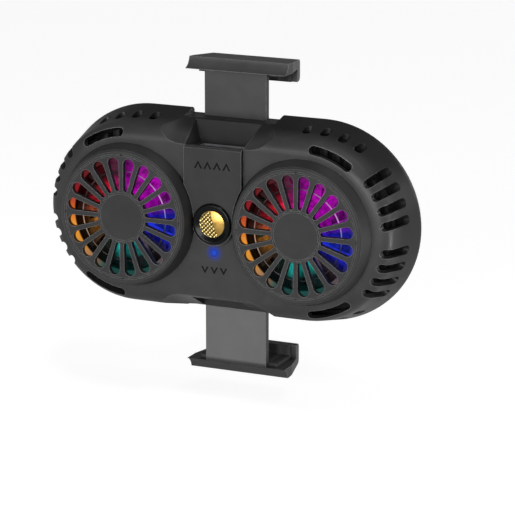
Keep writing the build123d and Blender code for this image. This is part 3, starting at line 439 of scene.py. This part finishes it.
def lit_ring(name, hand):
    """Milky plastic that passes the light of the chips, bright near the front."""
    look = Look(name, (0.008, 0.008, 0.008), 0.45, specular=0.1)
    hue, levels = chip_light(look, slanted(look, hand)[0])
    depth = look.split(world_place(look))[1]
    front = look.remap(depth, (FACE + RING_LIT, FACE + RING_DARK), (1.0, 0.0), smooth=True)
    look.glow(hue, look.math("MULTIPLY", levels[2], front))
    look.vary(2 * MM, 0.1)
    return look.bump(look.noise(0.6 * MM, 2), 0.01 * MM, 0.5)


def lit_trim(name, hand):
    """Polished ring behind the bars, with a paler glow of the chips' light painted on it in
    places as its highlights.
    """
    look = Look(name, (0.012, 0.012, 0.012), 0.2, specular=0.3)
    pale = []
    for row in CHIP_LIGHT:
        pale.append((row[0], tuple((channel * 0.6 + 0.4) * row[5] for channel in row[1])))
    # Painted highlights of the chips' light on the ring
    look.glow(round_the_turn(look, slanted(look, hand)[0], pale), 1.0)
    return look.vary(1 * MM, 0.2).scuff(1 * MM, 0.04)


# Looks of the CAD nodes

shell_look = moulded("shell_plastic", 0.038, 0.40, grain_depth=0.008 * MM, edge_highlight=0.24)
# Painted shade on the shell's walls behind the shoulder
shell_look.paint_wall_shade(SHELL_WALL_SHADE_SHARE)
rear_look = moulded("rear_plastic", 0.032, 0.55, 0.35 * MM, 0.02 * MM, edge_highlight=0.20)
# Painted shade on the rear cover's walls behind the shoulder
rear_look.paint_wall_shade(REAR_WALL_SHADE_SHARE)
panel_look = moulded("panel_plastic", 0.027, 0.44, 0.2 * MM, 0.008 * MM, edge_highlight=0.24)
grille_look = moulded("grille_plastic", 0.028, 0.44, 0.2 * MM, 0.008 * MM, edge_highlight=0.24)
arm_look = moulded("arm_plastic", 0.048, 0.44, 0.3 * MM, 0.006 * MM, 0.22 * MM, edge_highlight=0.24)
cage_look = moulded("cage_plastic", (0.06, 0.06, 0.06), 0.35)
gear_look = moulded("gear_plastic", (0.62, 0.60, 0.54), 0.4)
switch_look = moulded("switch_plastic", (0.03, 0.03, 0.03), 0.5)
plunger_look = moulded("plunger_plastic", (0.45, 0.45, 0.43), 0.5)
core_look = moulded("socket_plastic", (0.02, 0.02, 0.021), 0.4)

# The lower arm is a copy of the arm plastic set darker, as painted shade, with a painted pool of
# light on the front face of its plate above the jaw
lower_arm_painted_look = moulded(
    "lower_arm_painted_light", 0.042, 0.44, 0.3 * MM, 0.006 * MM, 0.22 * MM, edge_highlight=0.24
)
arm_x, arm_y, arm_z = lower_arm_painted_look.split(lower_arm_painted_look.place)
above_jaw = lower_arm_painted_look.remap(arm_z, (PLATE_LOW, PLATE_LOW + 1 * MM), smooth=True)
across_plate = lower_arm_painted_look.math("ABSOLUTE", arm_x)
on_plate = lower_arm_painted_look.math("LESS_THAN", across_plate, PLATE_HALF)
on_plate = lower_arm_painted_look.math("MULTIPLY", on_plate, above_jaw)
on_face = lower_arm_painted_look.math("LESS_THAN", arm_y, PLATE_FACE + PLATE_BAND)
before_face = lower_arm_painted_look.math("LESS_THAN", arm_y, PLATE_FACE - PLATE_BAND)
on_face = lower_arm_painted_look.math("SUBTRACT", on_face, before_face)
painted_plate_light = lower_arm_painted_look.mixed(
    lower_arm_painted_look.noise(5 * MM), (0.115, 0.115, 0.115, 1), (0.15, 0.15, 0.15, 1)
)
lower_arm_painted_look.tint(lower_arm_painted_look.math("MULTIPLY", on_plate, on_face), painted_plate_light)

bezel_look = Look("bezel_gloss", (0.002, 0.0025, 0.0025), 0.25, specular=0.13)
bezel_look.shader.inputs["Coat Weight"].default_value = 0.05
bezel_look.shader.inputs["Coat Roughness"].default_value = 0.08
# Painted highlight along the bezel's edges
bezel_look.vary(2 * MM, 0.3).paint_edge_highlight(0.15 * MM, 0.10)
bezel_look.scuff(1.5 * MM, 0.04).round_edges(0.15 * MM)

pad_look = Look("pad_rubber", (0.022, 0.022, 0.022), 0.75)
pad_look.vary(3 * MM, 0.2)
pad_wave = pad_look.node(
    "ShaderNodeTexWave", Vector=pad_look.place, Scale=1 / (9.8 * MM), Distortion=0.0
)
pad_wave.bands_direction = "X"
pad_wave.wave_profile = "SIN"
pad_look.round_edges(0.25 * MM).bump(pad_wave.outputs["Fac"], 0.25 * MM, 0.9)
pad_look.grain(0.15 * MM, 0.02 * MM)

foam_look = Look("gasket_foam", (0.03, 0.03, 0.03), 0.95)
foam_look.vary(1 * MM, 0.3)
foam_cells = foam_look.node(
    "ShaderNodeTexVoronoi", Vector=foam_look.place, Scale=1 / (0.5 * MM)
)
foam_look.bump(foam_cells.outputs["Distance"], 0.15 * MM, 0.8)

board_look = Look("board_mask", (0.012, 0.10, 0.045), 0.35)
board_look.vary(1.5 * MM, 0.25).scuff(2 * MM, 0.06).round_edges(0.05 * MM)
board_look.grain(0.3 * MM, 0.01 * MM)

ceramic_look = Look("module_ceramic", (0.75, 0.75, 0.72), 0.6)
ceramic_look.vary(2 * MM, 0.06).grain(0.15 * MM, 0.01 * MM)

cold_look = Look("cold_plate_metal", (0.62, 0.63, 0.65), 0.32, metallic=1.0)
cold_lines = cold_look.noise(0.42 * MM, 4, cold_look.stretched((0.012, 1, 1)), 0.7)
cold_look.set(
    cold_look.shader.inputs["Base Color"],
    cold_look.ramp(
        cold_lines, ((NOISE_LOW, (0.54, 0.55, 0.57)), (NOISE_HIGH, (0.70, 0.71, 0.73)))
    ),
)
cold_look.round_edges(0.2 * MM).bump(cold_lines, 0.006 * MM, 0.6).scuff(9 * MM, 0.03)

steel_look = metal("ground_steel", (0.50, 0.50, 0.52), 0.28, (1, 0.1, 1))
socket_look = metal("socket_nickel", (0.42, 0.42, 0.44), 0.38, depth=0.001 * MM)
screw_look = metal("black_steel", (0.10, 0.10, 0.105), 0.36)
bronze_look = metal("sleeve_bronze", (0.50, 0.30, 0.12), 0.35)
magnet_look = metal("magnet_black", (0.12, 0.11, 0.11), 0.55)
stator_look = metal("stator_steel", (0.25, 0.20, 0.16), 0.45, (1, 0.05, 1))
contact_look = metal("contact_gold", (0.85, 0.58, 0.20), 0.25)
spring_look = metal("spring_wire", (0.50, 0.50, 0.51), 0.3)
coil = spring_look.node("ShaderNodeTexWave", Vector=spring_look.place, Scale=1 / (2.2 * MM))
coil.bands_direction = "Z"
spring_look.bump(coil.outputs["Fac"], 0.3 * MM, 1.0)


def add_glow_and_painted_halo(look, color, inner, outer):
    """A blue glow about the status light, full at a first distance from its middle and gone at a
    second; on the shell around the light it is a painted glow.
    """
    away = look.vector_math("DISTANCE", look.place, (0, SHELL_FACE, LIGHT_Z))["Value"]
    halo = look.remap(away, (inner, outer), (1.0, 0.0), smooth=True)
    look.tint(halo, (0.006, 0.008, 0.03, 1))
    look.glow((*color, 1), halo)


light_look = Look("status_light", (0.006, 0.008, 0.03), 0.5, specular=0.1)
light_look.vary(0.5 * MM, 0.2)
add_glow_and_painted_halo(light_look, (0.009, 0.060, 0.55), 0.1 * MM, LIGHT_REACH)
# A painted glow of the status light on the shell around it
add_glow_and_painted_halo(shell_look, (0.002, 0.026, 0.30), 0.4 * MM, PAINTED_HALO_REACH)

NODE_LOOKS = {
    "front_shell": shell_look,
    "rear_cover": rear_look,
    "centre_panel": panel_look,
    "button_bezel": bezel_look,
    "tact_switch": switch_look,
    "switch_plunger": plunger_look,
    "circuit_board": board_look,
    "status_led": light_look,
    "status_light_pipe": light_look,
    "usb_a_shell": socket_look,
    "usb_a_tongue": core_look,
    "usb_c_shell": socket_look,
    "usb_c_tongue": core_look,
    "cold_plate": cold_look,
    "clamp_cage": cage_look,
    "pinion_pin": steel_look,
    "sync_pinion": gear_look,
    "clamp_spring": spring_look,
    "case_screws": screw_look,
    "upper_arm": arm_look,
    "lower_arm": lower_arm_painted_look,
    "upper_jaw_pad": pad_look,
    "lower_jaw_pad": pad_look,
}
SIDES = (("left", -1), ("right", 1))
for side, hand in SIDES:
    fan_looks = {
        "grille": grille_look,
        "cooling_module": ceramic_look,
        "foam_gasket": foam_look,
        "bearing": bronze_look,
        "stator": stator_look,
        "rotor_shaft": steel_look,
        "rotor_magnet": magnet_look,
        "impeller": lit_plastic(
            f"{side}_impeller_plastic", hand, (0.012, 0.012, 0.013), 0.35, 1.0
        ),
        "fan_frame": lit_plastic(
            f"{side}_frame_plastic", hand, (0.012, 0.012, 0.012), 0.4, 0.45
        ),
        "heat_sink": lit_plastic(f"{side}_sink_black", hand, (0.02, 0.02, 0.021), 0.45, 0.35),
        "led_ring": lit_ring(f"{side}_chip_light", hand),
        "light_ring": lit_ring(f"{side}_ring_light", hand),
    }
    for piece, look in fan_looks.items():
        NODE_LOOKS[f"{side}_{piece}"] = look

for name, look in NODE_LOOKS.items():
    mesh = nodes[name].data
    mesh.materials.clear()
    mesh.materials.append(look.material)


# Mesh helpers


def new_piece(name, mesh, look, body, smooth=True):
    piece = bpy.data.objects.new(name, mesh)
    bpy.context.scene.collection.objects.link(piece)
    mesh.materials.append(look.material)
    for polygon in mesh.polygons:
        polygon.use_smooth = smooth
    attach(piece, body)
    return piece


def mesh_of(name, built):
    """A mesh from a finished bmesh, which is freed."""
    mesh = bpy.data.meshes.new(name)
    built.to_mesh(mesh)
    built.free()
    return mesh


def ring_faces(low, high, steps):
    """Faces between two rings of points, given by the number of each ring's first point."""
    faces = []
    for step in range(steps):
        after = (step + 1) % steps
        faces.append((low + step, low + after, high + after, high + step))
    return faces


def lathe_mesh(name, profile, steps, x=0.0):
    """A surface turned about an axis parallel to Y, from (radius, y) pairs."""
    points, faces = [], []
    for radius, y in profile:
        for step in range(steps):
            turn = math.tau * step / steps
            points.append((x + radius * math.cos(turn), y, radius * math.sin(turn)))
    for row in range(len(profile) - 1):
        faces += ring_faces(row * steps, (row + 1) * steps, steps)
    mesh = bpy.data.meshes.new(name)
    mesh.from_pydata(points, [], faces)
    return mesh


def bevelled_plate(name, outline, back, front, edge):
    """A flat plate facing the fan side, with its front edge chamfered. The outline is (x, z)
    pairs, anticlockwise as the fan side sees it."""
    built = bmesh.new()
    rear = [built.verts.new((x, back, z)) for x, z in outline]
    face = built.faces.new(rear)
    built.normal_update()
    made = bmesh.ops.extrude_face_region(built, geom=[face])
    moved = [v for v in made["geom"] if isinstance(v, bmesh.types.BMVert)]
    bmesh.ops.translate(built, verts=moved, vec=(0, front - back, 0))
    rim = [e for e in built.edges if all(v in moved for v in e.verts)]
    bmesh.ops.bevel(built, geom=rim, offset=edge, segments=2, affect="EDGES")
    bmesh.ops.recalc_face_normals(built, faces=built.faces)
    return mesh_of(name, built)


# Button cap: a gold dome, knurled on its lower left and polished on its upper right. The
# knurl's edge lies this far from the middle, across a line turned from X toward Z

CAP_RADIUS = 3.55 * MM
CAP_RIM = 0.3 * MM
CAP_DOME = 0.5 * MM
CAP_RINGS = 70
CAP_STEPS = 200
KNURL_PITCH = 1.15 * MM
KNURL_DEPTH = 0.38 * MM
KNURL_TURN = math.radians(20)
KNURL_EDGE = 0.6 * MM
KNURL_FADE = 0.2 * MM
KNURL_SHADE_FADE = 0.3 * MM
KNURL_RIM_FADE = 0.25 * MM
PIT_SHADE_STARTS = 0.15
PIT_SHADE_FULL = 0.75

cap_look = Look("cap_gold", (0.60, 0.40, 0.14), 0.30, metallic=1.0)
cap_x, _, cap_z = cap_look.split(cap_look.place)
ridges = []
for operation in ("ADD", "SUBTRACT"):
    slope = cap_look.math(operation, cap_x, cap_z)
    ridges.append(cap_look.math("SINE", cap_look.math("MULTIPLY", slope, math.pi / KNURL_PITCH)))
peak = cap_look.math("ABSOLUTE", cap_look.math("MULTIPLY", *ridges))
peak = cap_look.math("POWER", peak, 0.5)
along = cap_look.math("MULTIPLY", cap_x, math.cos(KNURL_TURN))
along = cap_look.math("MULTIPLY_ADD", cap_z, math.sin(KNURL_TURN), along)
# The knurl is a darker gold than the smooth part and darker still in its pits: painted shade of
# the knurl
knurled = cap_look.remap(along, (KNURL_EDGE, KNURL_EDGE - KNURL_SHADE_FADE))
pit_shade = cap_look.math("MULTIPLY", knurled, cap_look.math("SUBTRACT", 1.0, peak))
cap_shaded_tone = cap_look.mixed(knurled, (0.46, 0.28, 0.070, 1), (0.84, 0.66, 0.28, 1))
cap_look.set(cap_look.shader.inputs["Base Color"], cap_shaded_tone)
cap_look.tint(cap_look.remap(pit_shade, (PIT_SHADE_STARTS, PIT_SHADE_FULL)), (0.05, 0.035, 0.010, 1))
cap_look.scuff(1.5 * MM, 0.08).bump(cap_look.noise(0.3 * MM, 3), 0.01 * MM, 0.5)


def cap_face(x, z, radius):
    """Depth of the cap's face at a place on it."""
    share = radius / CAP_RADIUS
    height = CAP_RIM + CAP_DOME * (1 - share * share)
    along = x * math.cos(KNURL_TURN) + z * math.sin(KNURL_TURN)
    one = math.sin(math.pi * (x + z) / KNURL_PITCH)
    two = math.sin(math.pi * (x - z) / KNURL_PITCH)
    inside = min(1.0, max(0.0, (KNURL_EDGE - along) / KNURL_FADE))
    rim_fade = min(1.0, (CAP_RADIUS - radius) / KNURL_RIM_FADE)
    drop = KNURL_DEPTH * inside * rim_fade * (1 - abs(one * two) ** 0.5)
    return PANEL_FACE - height + drop


_, button_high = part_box("button_cap")
cap_points, cap_faces = [], []
for ring in range(CAP_RINGS + 1):
    radius = CAP_RADIUS * ring / CAP_RINGS
    for step in range(CAP_STEPS):
        turn = math.tau * step / CAP_STEPS
        x, z = radius * math.cos(turn), radius * math.sin(turn)
        cap_points.append((x, cap_face(x, z, radius), z))
for x, _, z in cap_points[-CAP_STEPS:]:
    cap_points.append((x, button_high.y, z))
for ring in range(CAP_RINGS + 1):
    cap_faces += ring_faces(ring * CAP_STEPS, (ring + 1) * CAP_STEPS, CAP_STEPS)
cap_mesh = bpy.data.meshes.new("gold_cap")
cap_mesh.from_pydata(cap_points, [], cap_faces)
gold_cap = new_piece("gold_cap", cap_mesh, cap_look, "button")
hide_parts("button_cap")

# Marks: arrow heads in place of words

OUTPUT_MARKS = 4
OUTPUT_MARK_Z = 15.6 * MM
OUTPUT_MARK_SIZE = (2.3 * MM, 2.1 * MM)
INPUT_MARKS = 3
INPUT_MARK_Z = -12.9 * MM
INPUT_MARK_SIZE = (2.2 * MM, 1.9 * MM)
MARK_PITCH = 2.7 * MM
MARK_STROKE = 0.5 * MM
MARK_PROUD = 0.03 * MM
MARK_SUNK = 0.1 * MM
MARK_EDGE = 0.02 * MM

mark_look = moulded(
    "mark_plastic", (0.002, 0.002, 0.002), 0.5, 0.2 * MM, 0.004 * MM, 0.05 * MM, specular=0.1
)


def arrow_heads(kind, count, face, z, size, point):
    """A row of arrow heads that point up (1) or down (-1), each of a stroke's width."""
    half, height = size[0] / 2, size[1]
    tip = z + point * height / 2
    tail = z - point * height / 2
    for index in range(count):
        x = (index - (count - 1) / 2) * MARK_PITCH
        outline = [
            (x - half, tail),
            (x - half + MARK_STROKE, tail),
            (x, tip - point * MARK_STROKE * 1.6),
            (x + half - MARK_STROKE, tail),
            (x + half, tail),
            (x, tip),
        ]
        name = f"{kind}_mark_{index}"
        mesh = bevelled_plate(name, outline, face + MARK_SUNK, face - MARK_PROUD, MARK_EDGE)
        new_piece(name, mesh, mark_look, "housing", smooth=False)


arrow_heads("output", OUTPUT_MARKS, PANEL_FACE, OUTPUT_MARK_Z, OUTPUT_MARK_SIZE, 1)
arrow_heads("input", INPUT_MARKS, SHELL_FACE, INPUT_MARK_Z, INPUT_MARK_SIZE, -1)

# Grilles: four key dots in the rim groove and a polished ring behind the bars

DOT_FOOT = 0.26 * MM
DOT_TOP = 0.22 * MM
DOT_HEIGHT = 0.2 * MM
DOT_SUNK = 0.08 * MM
RING_STEPS = 96
TUBE_STEPS = 12

dot_look = moulded("key_dot_plastic", (0.004, 0.004, 0.004), 0.5)
for side, hand in SIDES:
    built = bmesh.new()
    for quarter in range(4):
        turn = math.tau * quarter / 4
        x = hand * FAN_X + KEY_DOT_RADIUS * math.cos(turn)
        z = KEY_DOT_RADIUS * math.sin(turn)
        place = Matrix.Translation((x, FACE + DOT_SUNK, z))
        bmesh.ops.create_cone(
            built,
            cap_ends=True,
            segments=20,
            radius1=DOT_FOOT,
            radius2=DOT_TOP,
            depth=DOT_HEIGHT,
            matrix=place @ Matrix.Rotation(math.pi / 2, 4, "X"),
        )
    mesh = mesh_of(f"{side}_key_dots", built)
    new_piece(f"{side}_key_dots", mesh, dot_look, "housing", smooth=False)

    middle = GRILLE_UNDER + BACK_RING_TUBE * 0.8
    profile = []
    for step in range(TUBE_STEPS + 1):
        turn = math.tau * step / TUBE_STEPS
        radius = BACK_RING_RADIUS + BACK_RING_TUBE * math.cos(turn)
        profile.append((radius, middle + BACK_RING_TUBE * math.sin(turn)))
    mesh = lathe_mesh(f"{side}_back_ring", profile, RING_STEPS, hand * FAN_X)
    trim_look = lit_trim(f"{side}_back_ring_gloss_painted_glow", hand)
    new_piece(f"{side}_back_ring", mesh, trim_look, "housing")

# Screws: pan heads with a cross recess on thin shanks

SCREW_HEAD = 1.45 * MM
SCREW_SHANK = 0.75 * MM
SCREW_TIP = 0.35
SCREW_TIP_HEIGHT = 0.5 * MM
SCREW_HEAD_HEIGHT = 0.75 * MM
SCREW_EDGE = 0.18 * MM
SCREW_STEPS = 40
SCREW_LEAN = 17
SCREW_LEAN_STEP = 23
RECESS_REACH = 0.85 * MM
RECESS_HALF = 0.20 * MM
RECESS_DEPTH = 0.5 * MM
RECESS_FOOT = 0.7
INNER_X, INNER_Z = 12.4 * MM, 21.0 * MM
OUTER_X = 48.8 * MM
SCREW_PLACES = [(hand * INNER_X, end * INNER_Z) for hand in (-1, 1) for end in (-1, 1)]
SCREW_PLACES += [(hand * OUTER_X, 0.0) for hand in (-1, 1)]


def band(built, low, high):
    """Faces between two loops of vertices."""
    for index in range(len(low)):
        after = (index + 1) % len(low)
        built.faces.new((low[index], low[after], high[after], high[index]))


def add_screw(built, x, z, lean, foot_y, head_y):
    """One screw from its tip to the top of its head, its recess turned by an angle."""

    def loop(outline, y, share=1.0):
        return [built.verts.new((x + a * share, y, z + b * share)) for a, b in outline]

    circle = []
    for step in range(SCREW_STEPS):
        turn = math.tau * step / SCREW_STEPS
        circle.append((math.cos(turn), math.sin(turn)))
    cross = []
    corners = (
        (RECESS_HALF, RECESS_HALF),
        (RECESS_REACH, RECESS_HALF),
        (RECESS_REACH, -RECESS_HALF),
    )
    for quarter in range(4):
        turn = lean - math.tau * quarter / 4
        for a, b in corners:
            cross.append(
                (a * math.cos(turn) - b * math.sin(turn), a * math.sin(turn) + b * math.cos(turn))
            )
    loops = [
        loop(circle, foot_y, SCREW_SHANK * SCREW_TIP),
        loop(circle, foot_y + SCREW_TIP_HEIGHT, SCREW_SHANK),
        loop(circle, head_y - SCREW_HEAD_HEIGHT, SCREW_SHANK),
        loop(circle, head_y - SCREW_HEAD_HEIGHT, SCREW_HEAD),
        loop(circle, head_y - SCREW_EDGE, SCREW_HEAD),
        loop(circle, head_y, SCREW_HEAD - SCREW_EDGE),
    ]
    for low, high in zip(loops, loops[1:]):
        band(built, low, high)
    built.faces.new(loops[0])
    mouth = loop(cross, head_y)
    foot = loop(cross, head_y - RECESS_DEPTH, RECESS_FOOT)
    band(built, mouth, foot)
    built.faces.new(foot)
    edges = []
    for rim in (loops[-1], mouth):
        for index in range(len(rim)):
            pair = (rim[index], rim[(index + 1) % len(rim)])
            edges.append(built.edges.get(pair) or built.edges.new(pair))
    bmesh.ops.triangle_fill(built, edges=edges, use_beauty=True)


screw_low, screw_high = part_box("case_screws")
screws = bmesh.new()
for number, (x, z) in enumerate(SCREW_PLACES):
    lean = math.radians(SCREW_LEAN + SCREW_LEAN_STEP * number)
    add_screw(screws, x, z, lean, screw_low.y, screw_high.y)
bmesh.ops.recalc_face_normals(screws, faces=screws.faces)
screw_mesh = mesh_of("screw_set", screws)
screw_set = new_piece("screw_set", screw_mesh, screw_look, "housing", smooth=False)
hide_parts("case_screws")

# Sockets: gold contacts on the tongues

USB_A_PLACES = [x * MM for x in (-3.5, -1.0, 1.0, 3.5)]
USB_A_WIDE, USB_A_PROUD = 1.0 * MM, -0.06 * MM
USB_A_FACE = -11.5 * MM
USB_A_SPAN = (8.0 * MM, 17.3 * MM)
USB_C_PLACES = [(index - 5.5) * 0.5 * MM for index in range(12)]
USB_C_WIDE, USB_C_PROUD = 0.26 * MM, 0.04 * MM
USB_C_FRONT, USB_C_REAR = -10.55 * MM, -9.85 * MM
USB_C_SPAN = (-15.0 * MM, -18.2 * MM)
CONTACT_NOSE = 0.3 * MM


def contacts(name, places, wide, span, face, proud):
    """Thin contact strips on a tongue, one at each place across it, between two heights."""
    low, high = span
    near = face + proud
    section = ((low, near), (high - CONTACT_NOSE, near), (high, face), (low, face))
    built = bmesh.new()
    for x in places:
        corners = []
        for z, y in section:
            pair = [built.verts.new((x + side * wide / 2, y, z)) for side in (-1, 1)]
            corners.append(pair)
        for index in range(4):
            this, after = corners[index], corners[(index + 1) % 4]
            built.faces.new((this[0], this[1], after[1], after[0]))
        built.faces.new([pair[0] for pair in corners])
        built.faces.new([pair[1] for pair in corners])
    bmesh.ops.recalc_face_normals(built, faces=built.faces)
    new_piece(name, mesh_of(name, built), contact_look, "housing", smooth=False)


contacts("usb_a_contacts", USB_A_PLACES, USB_A_WIDE, USB_A_SPAN, USB_A_FACE, USB_A_PROUD)
for end, face, way in (("front", USB_C_FRONT, -1), ("rear", USB_C_REAR, 1)):
    contacts(
        f"usb_c_contacts_{end}", USB_C_PLACES, USB_C_WIDE, USB_C_SPAN, face, way * USB_C_PROUD
    )

# Camera, from the perspective of the photograph

VIEW_AZIMUTH = math.radians(24.23)
VIEW_ELEVATION = math.radians(14.74)
VIEW_DISTANCE = 0.676
VIEW_RIGHT = 0.0131
VIEW_UP = -0.0080
LENS = 181.7
SENSOR = 36.0

right = Vector((math.cos(VIEW_AZIMUTH), math.sin(VIEW_AZIMUTH), 0))
back = Vector(
    (
        math.sin(VIEW_AZIMUTH) * math.cos(VIEW_ELEVATION),
        -math.cos(VIEW_AZIMUTH) * math.cos(VIEW_ELEVATION),
        math.sin(VIEW_ELEVATION),
    )
)
up = back.cross(right)
eye = Vector((0, FACE, 0)) + back * VIEW_DISTANCE + right * VIEW_RIGHT + up * VIEW_UP
camera_data = bpy.data.cameras.new("camera")
camera_data.lens = LENS
camera_data.sensor_width = SENSOR
camera_data.clip_start = 0.01
camera_data.clip_end = 50
camera = bpy.data.objects.new("camera", camera_data)
bpy.context.scene.collection.objects.link(camera)
facing = Matrix((right, up, back)).transposed().to_4x4()
camera.matrix_world = Matrix.Translation(eye) @ facing
bpy.context.scene.camera = camera

# Floor, clear of the lower jaw where the clamp is fully open. It is white to the camera,
# whiter far away, and less so in reflections

FLOOR_GAP = 6.6 * MM
FLOOR_REACH = 12.0
FLOOR_LEVEL = 0.36
FLOOR_FILL = 0.84
FILL_NEAR = 0.4
FILL_FAR = 2.5
FLOOR_IN_GLOSS = 0.5

floor_z = cad_low[2] - FLOOR_GAP
floor_mesh = bpy.data.meshes.new("floor")
corners = ((-1, -1), (1, -1), (1, 1), (-1, 1))
floor_mesh.from_pydata(
    [(x * FLOOR_REACH, y * FLOOR_REACH, floor_z) for x, y in corners], [], [(0, 1, 2, 3)]
)
floor = bpy.data.objects.new("floor", floor_mesh)
bpy.context.scene.collection.objects.link(floor)
floor_look = Look("floor_pale", (FLOOR_LEVEL, FLOOR_LEVEL, FLOOR_LEVEL), 0.9, specular=0.0)
away = floor_look.vector_math("DISTANCE", floor_look.place, (0, 0, 0))["Value"]
fill = floor_look.remap(away, (FILL_NEAR, FILL_FAR), (FLOOR_FILL, 1.0), smooth=True)
seen = floor_look.seen_as_backdrop(FLOOR_IN_GLOSS)
floor_look.glow((1, 1, 1, 1), floor_look.math("MULTIPLY", seen, fill))
floor_mesh.materials.append(floor_look.material)

# World: white to the camera, and else pale up to one height and dark from another

WORLD_IN_GLOSS = 0.08
WORLD_HEIGHTS = (0.15, 0.65)
WORLD_LEVELS = (0.22, 0.05)

world = bpy.data.worlds.new("studio")
bpy.context.scene.world = world
world.use_nodes = True
sky = Nodes(world.node_tree)
height = sky.split(sky.node("ShaderNodeTexCoord").outputs["Generated"])[2]
level = sky.remap(height, WORLD_HEIGHTS, WORLD_LEVELS, smooth=True)
background = world.node_tree.nodes["Background"]
background.inputs["Color"].default_value = (1, 1, 1, 1)
seen = sky.seen_as_backdrop(WORLD_IN_GLOSS)
sky.set(background.inputs["Strength"], sky.math("MAXIMUM", level, seen))

# Lamps: rectangles that face the object, each with its direction, distance, two sizes and
# power. Broad ones light the front and the back, and small ones draw the highlights of the
# shoulders and the right wall

LAMPS = (
    ("front_lamp", (0.17, -2.2, 0.38), 2.25, (2.2, 0.8), 49.0),
    ("top_lamp", (0.40, 0.20, 1.0), 0.9, (0.35, 0.35), 0.8),
    ("shoulder_lamp", (0.22, -0.40, 0.88), 0.6, (0.12, 0.12), 0.8),
    ("right_strip", (0.95, 0.10, 0.10), 0.30, (0.012, 0.13), 0.10),
    ("right_low", (0.165, -0.001, -0.030), 0.168, (0.01, 0.02), 0.05),
    ("rear_lamp", (0.90, 2.0, 0.34), 2.2, (1.4, 0.5), 10.0),
)
for name, toward, distance, size, power in LAMPS:
    data = bpy.data.lights.new(name, "AREA")
    data.shape = "RECTANGLE"
    data.size, data.size_y = size
    data.energy = power
    lamp = bpy.data.objects.new(name, data)
    bpy.context.scene.collection.objects.link(lamp)
    lamp.visible_camera = False
    place = Vector(toward).normalized() * distance
    facing = place.to_track_quat("Z", "Y").to_matrix().to_4x4()
    lamp.matrix_world = Matrix.Translation(place) @ facing

bpy.context.scene.view_settings.view_transform = "Standard"
